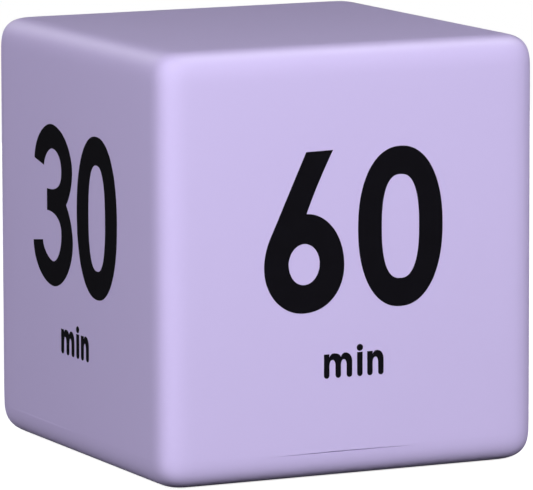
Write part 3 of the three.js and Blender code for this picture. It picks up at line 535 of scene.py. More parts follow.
def moulded_plastic(name, colour, shade, grain=0.35, depth=0.004, roughness=0.5, sheen=0.07):
    """Injection-moulded plastic from a finely spark-eroded mould: even colour, soft wide highlights, and
    a grain that only just breaks them up. The pits scatter most of the gloss, so the sheen is a thin
    coat, which stays low where the surface is seen at a slant."""
    material, tree, shader, place = new_material(name, colour, shade, 24)
    grained = uneven_surface(tree, place, grain, depth, 2)
    finish = {
        "Normal": grained, "Coat Normal": grained, "Roughness": roughness, "IOR": 1.53,
        "Specular IOR Level": 0.0, "Coat Weight": sheen, "Coat Roughness": roughness,
    }
    fill_inputs(tree, shader, finish)
    return material


def printed_ink():
    """Pad-printed two-part ink: a dense black film that levelled with faint unevenness as it dried, matt
    enough to stay black wherever the light comes from."""
    material, tree, shader, place = new_material("pad_printed_black_ink", "#0D0C10", "#111015", 3)
    finish = {
        "Normal": uneven_surface(tree, place, 0.8, 0.002), "Roughness": 0.5, "IOR": 1.5,
        "Specular IOR Level": 0.0, "Coat Weight": 0.02, "Coat Roughness": 0.4,
    }
    fill_inputs(tree, shader, finish)
    return material


def plated_steel():
    """Barrel-plated zinc on steel: bright and faintly blue, with the fine crystals of the plating in its
    gloss."""
    material, tree, shader, place = new_material("zinc_plated_steel", "#B9BDC2", "#A3A9B0", 1.5)
    crystals = add_node(tree, "ShaderNodeTexVoronoi", {"Vector": place, "Scale": per_mm(0.25)})
    gloss = add_node(tree, "ShaderNodeMapRange", {0: crystals.outputs["Distance"], 3: 0.26, 4: 0.42})
    bump = add_node(tree, "ShaderNodeBump", {"Height": crystals.outputs["Distance"], "Distance": 0.003 * MM})
    finish = {"Metallic": 1.0, "Roughness": gloss, "Normal": bump}
    fill_inputs(tree, shader, finish)
    return material


def nickel_strip():
    """Rolled and nickel-plated strip and wire: warm bright metal with the rolls' fine lines along it. The
    real lines are a few hundredths of a millimetre apart, and are drawn coarser so that they show."""
    material, tree, shader, place = new_material("nickel_plated_strip", "#D2CDC2", "#C2BCAF", 4)
    drawn = add_node(tree, "ShaderNodeVectorMath", {0: place, 1: (0.12, 1.0, 1.0)}, operation="MULTIPLY")
    lines = add_node(tree, "ShaderNodeTexNoise", {"Vector": drawn, "Scale": per_mm(0.2), "Detail": 2})
    gloss = add_node(tree, "ShaderNodeMapRange", {0: lines.outputs["Fac"], 3: 0.16, 4: 0.34})
    bump = add_node(tree, "ShaderNodeBump", {"Height": lines.outputs["Fac"], "Distance": 0.002 * MM})
    finish = {"Metallic": 1.0, "Roughness": gloss, "Normal": bump}
    fill_inputs(tree, shader, finish)
    return material


def bearing_steel():
    """Lapped bearing steel: close to a mirror, with the faintest cloud in its polish."""
    material, tree, shader, place = new_material("lapped_bearing_steel", "#C9CACC", "#BDBFC3", 2)
    cloud = add_node(tree, "ShaderNodeTexNoise", {"Vector": place, "Scale": per_mm(0.6), "Detail": 3})
    gloss = add_node(tree, "ShaderNodeMapRange", {0: cloud.outputs["Fac"], 3: 0.05, 4: 0.13})
    fill_inputs(tree, shader, {"Metallic": 1.0, "Roughness": gloss})
    return material


def shrink_film():
    """Printed heat-shrink film round a cell: dark, glossy, with one pale ring near its nub, and faint
    ripples where the film drew tight. The two cells lie head to tail, so a place along either of them
    is its Y times the sign of its X."""
    material, tree, shader, place = new_material("printed_shrink_film", "#2E333A", "#2A2E35", 12)
    parts = add_node(tree, "ShaderNodeSeparateXYZ", {0: place}).outputs
    side = add_node(tree, "ShaderNodeMath", {0: parts["X"]}, operation="SIGN")
    along = add_node(tree, "ShaderNodeMath", {0: parts["Y"], 1: side}, operation="MULTIPLY")
    band = {0: along, 1: SLEEVE_RING_Y * MM, 2: SLEEVE_RING_WIDTH / 2 * MM}
    ring = add_node(tree, "ShaderNodeMath", band, operation="COMPARE")
    dark = shader.inputs["Base Color"].links[0].from_socket
    printed = add_node(tree, "ShaderNodeMix", {0: ring, 6: dark, 7: linear("#C9CCD1")}, data_type="RGBA")
    drawn = add_node(tree, "ShaderNodeVectorMath", {0: place, 1: (1.0, 0.2, 1.0)}, operation="MULTIPLY")
    ripples = uneven_surface(tree, drawn, 1.6, 0.02, 2)
    finish = {
        "Base Color": printed.outputs[2], "Normal": ripples, "Roughness": 0.38, "IOR": 1.54,
        "Coat Weight": 0.5, "Coat Roughness": 0.14,
    }
    fill_inputs(tree, shader, finish)
    return material


def masked_laminate():
    """Glass laminate under green solder mask: a glossy lacquer that rises a little over the copper lines,
    which show through it as a lighter green, on the faint weave of the glass cloth."""
    material, tree, shader, place = new_material("solder_masked_laminate", "#1C6539", "#18592F", 6)
    tracks = add_node(
        tree,
        "ShaderNodeTexBrick",
        {"Vector": place, "Scale": 1.0, "Mortar Size": 0.14 * MM, "Mortar Smooth": 0.1},
        offset=0.37,
    )
    fill_inputs(tree, tracks, {"Brick Width": 11 * MM, "Row Height": 1.27 * MM})
    green = shader.inputs["Base Color"].links[0].from_socket
    shown = add_node(
        tree, "ShaderNodeMix", {0: tracks.outputs["Fac"], 6: green, 7: linear("#2F7D4A")}, data_type="RGBA"
    )
    weave = add_node(
        tree, "ShaderNodeTexVoronoi", {"Vector": place, "Scale": per_mm(0.5)}, distance="CHEBYCHEV"
    )
    cloth = add_node(tree, "ShaderNodeBump", {"Height": weave.outputs["Distance"], "Distance": 0.004 * MM})
    raised = add_node(
        tree, "ShaderNodeBump", {"Height": tracks.outputs["Fac"], "Distance": 0.035 * MM, "Normal": cloth}
    )
    finish = {
        "Base Color": shown.outputs[2], "Normal": raised, "Roughness": 0.42, "IOR": 1.55, "Coat Weight": 0.6,
        "Coat Roughness": 0.18,
    }
    fill_inputs(tree, shader, finish)
    return material


def cast_resin():
    """Black epoxy resin dropped on and cured: glossy, with the slow waves of a liquid that set."""
    material, tree, shader, place = new_material("cast_black_epoxy", "#121214", "#1A1A1D", 3)
    finish = {"Normal": uneven_surface(tree, place, 2.4, 0.08), "Roughness": 0.2, "IOR": 1.56}
    fill_inputs(tree, shader, finish)
    return material


def sintered_ferrite():
    """Pressed and sintered ferrite powder: dark grey, dull, with the fine pits left between its grains."""
    material, tree, shader, place = new_material("sintered_ferrite", "#3B3B3F", "#2C2C30", 1.2)
    pits = add_node(tree, "ShaderNodeTexVoronoi", {"Vector": place, "Scale": per_mm(0.18)})
    bump = add_node(tree, "ShaderNodeBump", {"Height": pits.outputs["Distance"], "Distance": 0.012 * MM})
    finish = {"Normal": bump, "Roughness": 0.62, "IOR": 1.9, "Specular IOR Level": 0.4}
    fill_inputs(tree, shader, finish)
    return material


def copper_winding():
    """A coil of enamelled copper wire: warm metal under clear lacquer, in rounded turns side by side. The
    real wire is a tenth of a millimetre thick, and is drawn as thick as it needs to be to show."""
    material, tree, shader, place = new_material("enamelled_copper_winding", "#BC7040", "#A25A2E", 1.0)
    parts = add_node(tree, "ShaderNodeSeparateXYZ", {0: place})
    turns = add_node(
        tree,
        "ShaderNodeMath",
        {0: parts.outputs["Z"], 1: 2 * math.pi * per_mm(WINDING_PITCH)},
        operation="MULTIPLY",
    )
    round_wire = add_node(tree, "ShaderNodeMath", {0: turns}, operation="SINE")
    bump = add_node(tree, "ShaderNodeBump", {"Height": round_wire, "Distance": 0.04 * MM})
    finish = {"Normal": bump, "Metallic": 1.0, "Roughness": 0.3, "Coat Weight": 0.6, "Coat Roughness": 0.12}
    fill_inputs(tree, shader, finish)
    return material


def extruded_pvc(name, colour, shade):
    """Soft PVC drawn over a wire: even colour, half gloss, with the die's faint unevenness."""
    material, tree, shader, place = new_material(name, colour, shade, 8)
    finish = {"Normal": uneven_surface(tree, place, 0.4, 0.006), "Roughness": 0.4, "IOR": 1.53}
    fill_inputs(tree, shader, finish)
    return material


SLEEVE_RING_Y = 14.5
SLEEVE_RING_WIDTH = 1.1
WINDING_PITCH = 0.35

LAVENDER = moulded_plastic("lavender_moulded_abs", "#C6B9E6", "#C4B7E4")
BLACK_PLASTIC = moulded_plastic("black_moulded_abs", "#1C1C1F", "#18181B", grain=0.3, roughness=0.45)
WHITE_PLASTIC = moulded_plastic("white_moulded_acetal", "#E9E7E2", "#E3E1DB", roughness=0.35)
INK = printed_ink()
ZINC = plated_steel()
NICKEL = nickel_strip()
BALL_STEEL = bearing_steel()
FILM = shrink_film()
LAMINATE = masked_laminate()
RESIN = cast_resin()
FERRITE = sintered_ferrite()
COPPER = copper_winding()
RED_PVC = extruded_pvc("red_extruded_pvc", "#B3201F", "#A81D1C")
BLACK_PVC = extruded_pvc("black_extruded_pvc", "#17171A", "#1C1C20")


# Printed figures. A face's own coordinates run from its middle line to the right, and up from the base.

# The steps in one curve of a figure, and the heights that most of the figures stand between
FIGURE_STEPS = 24
FIGURE_LOW = 24.84
FIGURE_HIGH = 48.40


def sweep(start, end, first, power):
    """A quarter of a superellipse from start to end that leaves start along x or along z."""
    centre = (start[0], end[1]) if first == "x" else (end[0], start[1])
    points = []
    for step in range(FIGURE_STEPS):
        angle = step / FIGURE_STEPS * math.pi / 2
        away, onward = math.cos(angle) ** (2 / power), math.sin(angle) ** (2 / power)
        points.append([c + (s - c) * away + (e - c) * onward for s, e, c in zip(start, end, centre)])
    return points


def bend(start, start_pull, end_pull, end):
    """A free curve from start to end, drawn by the pull at each end."""
    knots = [Vector((*point, 0)) for point in (start, start_pull, end_pull, end)]
    return [point.xy for point in interpolate_bezier(*knots, FIGURE_STEPS + 1)][:-1]


def trace(start, *moves):
    """An outline from its start through its moves, each given by its end: a line, a sweep that leaves
    along x or z with its power, or a bend with the pull at each end."""
    points, here = [], start
    for kind, end, *shape in moves:
        if kind == "line":
            points.append(here)
        elif kind == "bend":
            points += bend(here, *shape, end)
        else:
            points += sweep(here, end, kind, *shape)
        here = end
    return points


def oval(left, right, low, high, power):
    """A closed outline that touches the four sides given."""
    x, z = (left + right) / 2, (low + high) / 2
    ends = (("x", (right, z)), ("z", (x, low)), ("x", (left, z)), ("z", (x, high)))
    return trace((x, high), *((kind, end, power) for kind, end in ends))


def figure_0(left, right, low, high, side):
    """A narrow zero whose stroke is this thick at its sides, and a little thicker at its ends."""
    end = 0.176 * (high - low)
    return [oval(left, right, low, high, 2.2), oval(left + side, right - side, low + end, high - end, 2.5)]


def figure_6():
    outline = trace(
        (-7.52, 48.32),
        ("line", (-3.22, 48.40)),
        ("bend", (-7.49, 39.30), (-4.7, 45.6), (-6.2, 42.6)),
        ("x", (-1.43, 31.6), 2.0),
        ("z", (-8.0, 24.81), 2.1),
        ("x", (-14.3, 31.7), 2.0),
        ("bend", (-12.9, 36.9), (-14.3, 33.6), (-13.8, 35.2)),
    )
    return [outline, oval(-10.38, -5.38, 28.98, 34.97, 2.0)]


def figure_3():
    outline = trace(
        (-14.98, 43.7),
        ("z", (-8.6, 49.37), 1.8),
        ("x", (-1.15, 43.0), 1.9),
        ("bend", (-3.44, 37.85), (-1.15, 40.9), (-2.3, 38.9)),
        ("bend", (-1.05, 32.3), (-2.2, 36.6), (-1.05, 34.6)),
        ("z", (-8.3, 25.12), 1.85),
        ("x", (-15.58, 31.22), 1.9),
        ("line", (-12.1, 31.67)),
        ("z", (-8.4, 28.86), 1.65),
        ("x", (-5.2, 33.2), 1.95),
        ("z", (-10.45, 36.33), 2.35),
        ("line", (-10.42, 39.57)),
        ("x", (-5.1, 42.7), 2.7),
        ("z", (-8.4, 45.75), 2.1),
        ("x", (-11.5, 42.95), 1.65),
        ("line", (-14.98, 43.7)),
    )
    return [outline]


def figure_1(left, low, high):
    tall = high - low
    corners = (
        (3.6, 0), (7.7, 0), (7.7, tall), (4.1, tall), (0, tall - 2.9), (0, tall - 7.1), (3.6, tall - 4.7)
    )
    return [[(left + x, low + z) for x, z in corners]]


def figure_5(left, low, high):
    tall = high - low
    outline = trace(
        (1.7, tall),
        ("line", (12.4, tall)),
        ("line", (12.4, tall - 4.1)),
        ("line", (5.6, tall - 4.1)),
        ("line", (5.25, 15.1)),
        ("bend", (7.3, 15.6), (5.9, 15.4), (6.6, 15.6)),
        ("x", (13.9, 7.9), 2.05),
        ("z", (6.9, 0.0), 2.0),
        ("x", (0.0, 5.9), 1.9),
        ("line", (3.8, 6.2)),
        ("z", (6.8, 3.9), 1.8),
        ("x", (9.7, 7.8), 2.0),
        ("z", (6.5, 11.8), 2.0),
        ("x", (4.3, 10.5), 1.8),
        ("line", (1.0, 10.6)),
        ("line", (1.7, tall)),
    )
    return [[(left + x, low + z) for x, z in outline]]


# The word's letters before it is scaled to a face: their height, and the left edges of their stems
WORD_HEIGHT = 3.58
WORD_DOT = 0.51
WORD_DOT_HEIGHT = 4.24
WORD_M_STEMS = (-4.82, -2.95, -1.14)
WORD_I_STEM = 0.56
WORD_N_STEMS = (2.2, 3.98)


def foot(left, right):
    """The round lower end of a stem, from its right side to its left."""
    middle, radius = (left + right) / 2, (right - left) / 2
    angles = [math.pi * step / CORNER_STEPS for step in range(CORNER_STEPS + 1)]
    return [(middle + radius * math.cos(a), radius - radius * math.sin(a)) for a in angles]


def arched_letter(stems, stroke):
    """An n or an m: stems joined by narrow arches."""
    high = WORD_HEIGHT
    dip = 0.75 * stroke
    outline = [(stems[0], high), (stems[0] + stroke, high), (stems[0] + stroke, high - dip / 2)]
    for left, right in zip(stems, stems[1:]):
        middle = (left + right + stroke) / 2 + stroke / 4
        last = right == stems[-1]
        fall = (right + stroke, high - (1.5 * stroke if last else dip))
        outline += sweep((left + stroke, high - dip), (middle, high + 0.08), "z", 2.0)
        outline += sweep((middle, high + 0.08), fall, "x", 2.2)
    outline += foot(stems[-1], stems[-1] + stroke)
    for left, right in zip(stems[-2::-1], stems[:0:-1]):
        middle = (left + right + stroke) / 2
        top = high - stroke
        outline += sweep((right, top - stroke), (middle, top), "z", 2.2)
        outline += sweep((middle, top), (left + stroke, top - stroke), "x", 2.2)
        outline += foot(left, left + stroke)
    return [outline]


def word_min(centre, base, scale, stroke):
    """The word under the figures: the outlines of its letters and of the dot."""
    stem = WORD_I_STEM
    letter_i = [(stem, WORD_HEIGHT), (stem + stroke, WORD_HEIGHT)] + foot(stem, stem + stroke)
    middle = stem + stroke / 2
    dot = [(middle + x, WORD_DOT_HEIGHT + z) for x, z in circle(WORD_DOT)]
    letters = [arched_letter(stems, stroke) for stems in (WORD_M_STEMS, WORD_N_STEMS)]
    shapes = letters + [[letter_i], [dot]]
    return [[[(
        centre + scale * x, base + scale * z
    ) for x, z in line] for line in shape] for shape in shapes]


def print_figures(name, shapes, right, outward, distance):
    """A thin film of ink on a side face, from outlines in the face's own coordinates."""
    points, faces = [], []
    right, outward = Vector(right), Vector(outward)
    for shape in shapes:
        flat = [point for outline in shape for point in outline]
        triangles = tessellate_polygon([[Vector((x, z, 0)) for x, z in outline] for outline in shape])
        start = len(points)
        for depth in (0.0, 2 * INK_DEPTH):
            for x, z in flat:
                points.append(x * right + (distance - depth) * outward + Vector((0, 0, z)))
        under = start + len(flat)
        faces += [[start + i for i in triangle] for triangle in triangles]
        faces += [[under + i for i in reversed(triangle)] for triangle in triangles]
        first = 0
        for outline in shape:
            for i in range(len(outline)):
                a, b = first + i, first + (i + 1) % len(outline)
                faces.append((start + a, start + b, under + b, under + a))
            first += len(outline)
    piece = make_piece(name, points, faces)
    return finish_piece(piece, "housing", "printed_ink", INK)


def add_figures():
    low, high = FIGURE_LOW, FIGURE_HIGH
    sixty = [figure_6(), figure_0(0.82, 14.6, low, high, 3.84)] + word_min(0.1, 14.98, 1.0, 0.88)
    thirty = [figure_3(), figure_0(0.5, 14.9, 25.18, 49.29, 4.2)] + word_min(-0.6, 15.41, 1.03, 1.0)
    fifteen = [figure_1(-11.9, low, high), figure_5(-1.6, low, high)] + word_min(0, 15.0, 1.0, 0.88)
    five = [figure_5(-6.95, low, high)] + word_min(0, 15.0, 1.0, 0.88)
    faces = ((60, sixty, 0, -1), (30, thirty, -1, 0), (15, fifteen, 0, 1), (5, five, 1, 0))
    for minutes, shapes, side_x, side_y in faces:
        distance = HALF_X if side_x else HALF_Y
        print_figures(f"figures_{minutes}", shapes, (-side_y, side_x, 0), (side_x, side_y, 0), distance)


# Housing


def bow_rim(shell):
    """Bows the housing's rim up or out from the base's rim, as far as the stretches of the seam say."""
    work = bmesh.new()
    work.from_mesh(shell.data)
    whole = work.verts[:] + work.edges[:] + work.faces[:]
    level = (0, 0, (SEAM + FLARE_HEIGHT) * MM)
    bmesh.ops.bisect_plane(work, geom=whole, plane_co=level, plane_no=(0, 0, 1))
    for vertex in work.verts:
        x, y, z = vertex.co / MM
        for (side_x, side_y), middle, half, rise, flare in SEAM_STRETCHES:
            if side_x * x + side_y * y > max(HALF_X, HALF_Y) - 2 * WALL:
                along = x if side_x == 0 else y
                bow = max(0.0, 1 - ((along - middle) / half) ** 2) * MM
                share = max(0.0, 1 - (z - SEAM) / FLARE_HEIGHT)
                vertex.co += bow * share * flare * Vector((side_x, side_y, 0))
                if z - SEAM < CLEAN:
                    vertex.co.z += bow * rise
    work.to_mesh(shell.data)
    work.free()


def housing_shell():
    half_x, half_y = HALF_X - INK_DEPTH, HALF_Y - INK_DEPTH
    shell = soft_block("housing_shell", half_x, half_y, 0, HEIGHT, EDGE_REACH, BASE_EDGE_REACH, LAVENDER)
    cavity_low = SEAM - EDGE_REACH
    reach = EDGE_REACH - WALL
    hollow_x, hollow_y, hollow_top = HALF_X - WALL, HALF_Y - WALL, HEIGHT - WALL
    cavity = soft_block("cavity", hollow_x, hollow_y, cavity_low, hollow_top, reach, reach, LAVENDER)
    below = loft("below", rounded_plate(2 * HALF_X, 2 * HALF_Y, 0), [(-OVERRUN, 0), (SEAM, 0)])
    combine(shell, [cavity, below], "DIFFERENCE")
    posts = merged_copy("posts", "body_shell")
    room_x, room_y, room_top = (size - WALL + POST_SINK for size in (HALF_X, HALF_Y, HEIGHT))
    room = soft_block("room", room_x, room_y, cavity_low, room_top, reach, reach, LAVENDER)
    above = loft("above", rounded_plate(HALF_X, HALF_Y, 0), [(SEAM + 2 * OVERRUN, 0), (HEIGHT, 0)])
    combine(posts, [room, above], "INTERSECT")
    combine(shell, [posts], "UNION")
    bow_rim(shell)
    finish_piece(shell, "housing", "lavender_abs", LAVENDER, "body_shell")


def sound_hole_rule():
    """Round cutting bars: one in the middle and a ring of others round it."""
    starts = {"Count": SOUND_HOLE_COUNT, "Ring Radius": 0.002, "Hole Radius": 0.001, "Length": 0.01}
    tree, given = new_rule("sound_holes", starts)
    ring = add_node(
        tree, "GeometryNodeMeshCircle", {"Vertices": given["Count"], "Radius": given["Ring Radius"]}
    )
    middle = add_node(tree, "GeometryNodeMeshLine", {"Count": 1})
    places = add_node(tree, "GeometryNodeJoinGeometry", {0: [ring, middle]})
    bar = add_node(
        tree,
        "GeometryNodeMeshCylinder",
        {"Vertices": ROUND_SIDES // 2, "Radius": given["Hole Radius"], "Depth": given["Length"]},
    )
    bars = add_node(tree, "GeometryNodeInstanceOnPoints", {"Points": places, "Instance": bar})
    close_rule(tree, bars, given["Material"])
    return tree


def sound_hole_cuts():
    length = 2 * (FLOOR + CLEAN)
    sizes = {"Ring Radius": SOUND_HOLE_RING, "Hole Radius": SOUND_HOLE_RADIUS, "Length": length}
    values = {label: size * MM for label, size in sizes.items()}
    values.update({"Count": SOUND_HOLE_COUNT, "Material": LAVENDER})
    return grow_from_rule("sound_holes", sound_hole_rule(), values, (SOUNDER_X, 0, 0))


def floor_word(text, y):
    """A word to cut into the underside, read from below with +Y up."""
    curve = bpy.data.curves.new(text, "FONT")
    curve.body = text
    curve.size = FLOOR_WORD_SIZE * MM
    curve.align_x = "CENTER"
    curve.align_y = "CENTER"
    curve.extrude = FLOOR_WORD_DEPTH * MM
    curve.resolution_u = 6
    letters = add_object(text, curve)
    mesh = bpy.data.meshes.new_from_object(letters.evaluated_get(bpy.context.evaluated_depsgraph_get()))
    bpy.data.objects.remove(letters)
    mesh.transform(Matrix.Translation((SWITCH_X * MM, y * MM, 0)) @ Matrix.Rotation(math.pi, 4, "Y"))
    return add_object(text, weld(mesh, mesh, WELD, outwards=True))


def base_shell():
    half_x, half_y = HALF_X - INK_DEPTH, HALF_Y - INK_DEPTH
    base = soft_block("base_shell", half_x, half_y, 0, HEIGHT, EDGE_REACH, BASE_EDGE_REACH, LAVENDER)
    above = loft("above", rounded_plate(2 * HALF_X, 2 * HALF_Y, 0), [(SEAM, 0), (HEIGHT + OVERRUN, 0)])
    tray = rounded_plate(HALF_X - BASE_RIM, HALF_Y - BASE_RIM, EDGE_REACH - WALL)
    inside = loft("inside", tray, [(BASE_SKIN, 0), (SEAM + OVERRUN, 0)])
    combine(base, [above, inside], "DIFFERENCE")
    core = merged_copy("core", "base_cover")
    trim = rounded_plate(HALF_X - CORE_INSET, HALF_Y - CORE_INSET, EDGE_REACH - CORE_INSET)
    # At the tray's bottom the core keeps clear of the soft edge.
    narrow = CORE_INSET - BASE_EDGE_REACH
    levels = [(-OVERRUN, narrow), (BASE_SKIN - 0.1, narrow), (BASE_SKIN - 0.05, 0), (HEIGHT, 0)]
    combine(core, [loft("trim", trim, levels)], "INTERSECT")
    combine(base, [core], "UNION")
    bore, levels = round_bar(COUNTERBORE_RADIUS), mouth_levels(COUNTERBORE_DEPTH + CLEAN)
    places = [(side_x * SCREW_X, side_y * SCREW_Y, 0) for side_x in (-1, 1) for side_y in (-1, 1)]
    cuts = [loft("counterbore", bore, levels, place) for place in places]
    pocket = rounded_plate(POCKET_HALF_X, POCKET_HALF_Y, POCKET_CORNER)
    cuts.append(loft("pocket", pocket, mouth_levels(POCKET_DEPTH + CLEAN), (SWITCH_X, 0, 0)))
    # The hole's corners are as tight as the door's, so the open door's edge turns clear of them.
    hole = rounded_plate(DOOR_HALF_X + DOOR_GAP, DOOR_HALF_Y + DOOR_GAP, DOOR_CORNER)
    cuts.append(loft("door_hole", hole, mouth_levels(FLOOR + CLEAN)))
    radius = SCOOP_RADIUS + CLEAN
    angles = [math.pi * step / SCOOP_STEPS for step in range(SCOOP_STEPS + 1)]
    scoop = [(-radius * math.cos(a), radius * math.sin(a)) for a in angles]
    scoop_place = (0, DOOR_HALF_Y + DOOR_GAP, SCOOP_DEPTH - SCOOP_RADIUS)
    cuts.append(loft("nail_scoop", round_bar(0), scoop, scoop_place))
    reach = DOOR_HALF_X + PIN_LENGTH + DOOR_GAP
    cuts.append(
        loft("hinge_seats", round_bar(HINGE_SEAT_RADIUS), [(-reach, 0), (reach, 0)], HINGE, SIDEWAYS)
    )
    cuts.append(sound_hole_cuts())
    cuts.append(floor_word("ON", FLOOR_WORD_PLACE))
    cuts.append(floor_word("OFF", -FLOOR_WORD_PLACE))
    combine(base, cuts, "DIFFERENCE")
    finish_piece(base, "housing", "lavender_abs", LAVENDER, "base_cover")


def add_housing():
    housing_shell()
    base_shell()


# Battery door


def battery_door():
    """The door under the cells: a plate with a round hinged end, two snap pins, and a latch tongue that
    two slots free from its other end, with grip ribs for a finger nail."""
    outline = rounded_plate(DOOR_HALF_X, DOOR_HALF_Y, DOOR_CORNER)
    door = loft("door", outline, eased_levels(DOOR_BOTTOM, DOOR_HIGH.z, DOOR_EDGE))
    square = rounded_plate(2 * DOOR_HALF_X, DOOR_THICKNESS, 0)
    square_place = (0, HINGE[1] - DOOR_THICKNESS, 0)
    combine(
        door, [loft("square_end", square, [(0, 0), (DOOR_HIGH.z + OVERRUN, 0)], square_place)], "DIFFERENCE"
    )
    barrel = eased_levels(-DOOR_HALF_X, DOOR_HALF_X, 4 * DOOR_EDGE)
    pins = eased_levels(-DOOR_HALF_X - PIN_LENGTH, DOOR_HALF_X + PIN_LENGTH, DOOR_EDGE)
    rib = (LATCH_WIDTH / 4, GRIP_THICKNESS / 2, DOOR_RIB)
    first_rib = (0, DOOR_HALF_Y - GRIP_RIBS * GRIP_SPACING, DOOR_BOTTOM)
    ribs = rib_row("grip_ribs", GRIP_RIBS, GRIP_SPACING, rib, GRIP_EDGE, first_rib, LAVENDER)
    joined = [
        loft("barrel", round_bar(DOOR_THICKNESS / 2), barrel, HINGE, SIDEWAYS),
        loft("pins", round_bar(PIN_RADIUS), pins, HINGE, SIDEWAYS),
        ribs,
    ]
    combine(door, joined, "UNION")
    slot = rounded_plate(LATCH_SLOT / 2, LATCH_LENGTH, LATCH_SLOT / 2)
    through = [(DOOR_BOTTOM - OVERRUN, 0), (DOOR_HIGH.z + OVERRUN, 0)]
    places = [(side * LATCH_WIDTH / 2, DOOR_HALF_Y, 0) for side in (-1, 1)]
    combine(door, [loft("latch_slot", slot, through, place) for place in places], "DIFFERENCE")
    finish_piece(door, "door", "lavender_abs", LAVENDER, "battery_door")


# Slide switch


def switch_knob():
    """The knob under the base, with ridges across it for a finger nail."""
    low, high = KNOB_LOW, KNOB_HIGH
    middle_y = (low.y + high.y) / 2
    outline = rounded_plate((high.x - low.x) / 2, (high.y - low.y) / 2, KNOB_CORNER)
    levels = eased_levels(low.z + KNOB_RIDGE, high.z, KNOB_EDGE)
    knob = loft("knob", outline, levels, (SWITCH_X, middle_y, 0))
    ridges = rib_row(
        "ridges",
        KNOB_RIDGES,
        KNOB_SPACING,
        ((high.x - low.x) / 2 - KNOB_CORNER, KNOB_RIDGE_THICKNESS / 2, KNOB_RIDGE),
        KNOB_EDGE,
        (SWITCH_X, middle_y - (KNOB_RIDGES - 1) / 2 * KNOB_SPACING, low.z + KNOB_RIDGE),
        BLACK_PLASTIC,
    )
    combine(knob, [ridges], "UNION")
    finish_piece(knob, "switch_slider", "black_plastic", BLACK_PLASTIC, "switch_knob")


# Screws


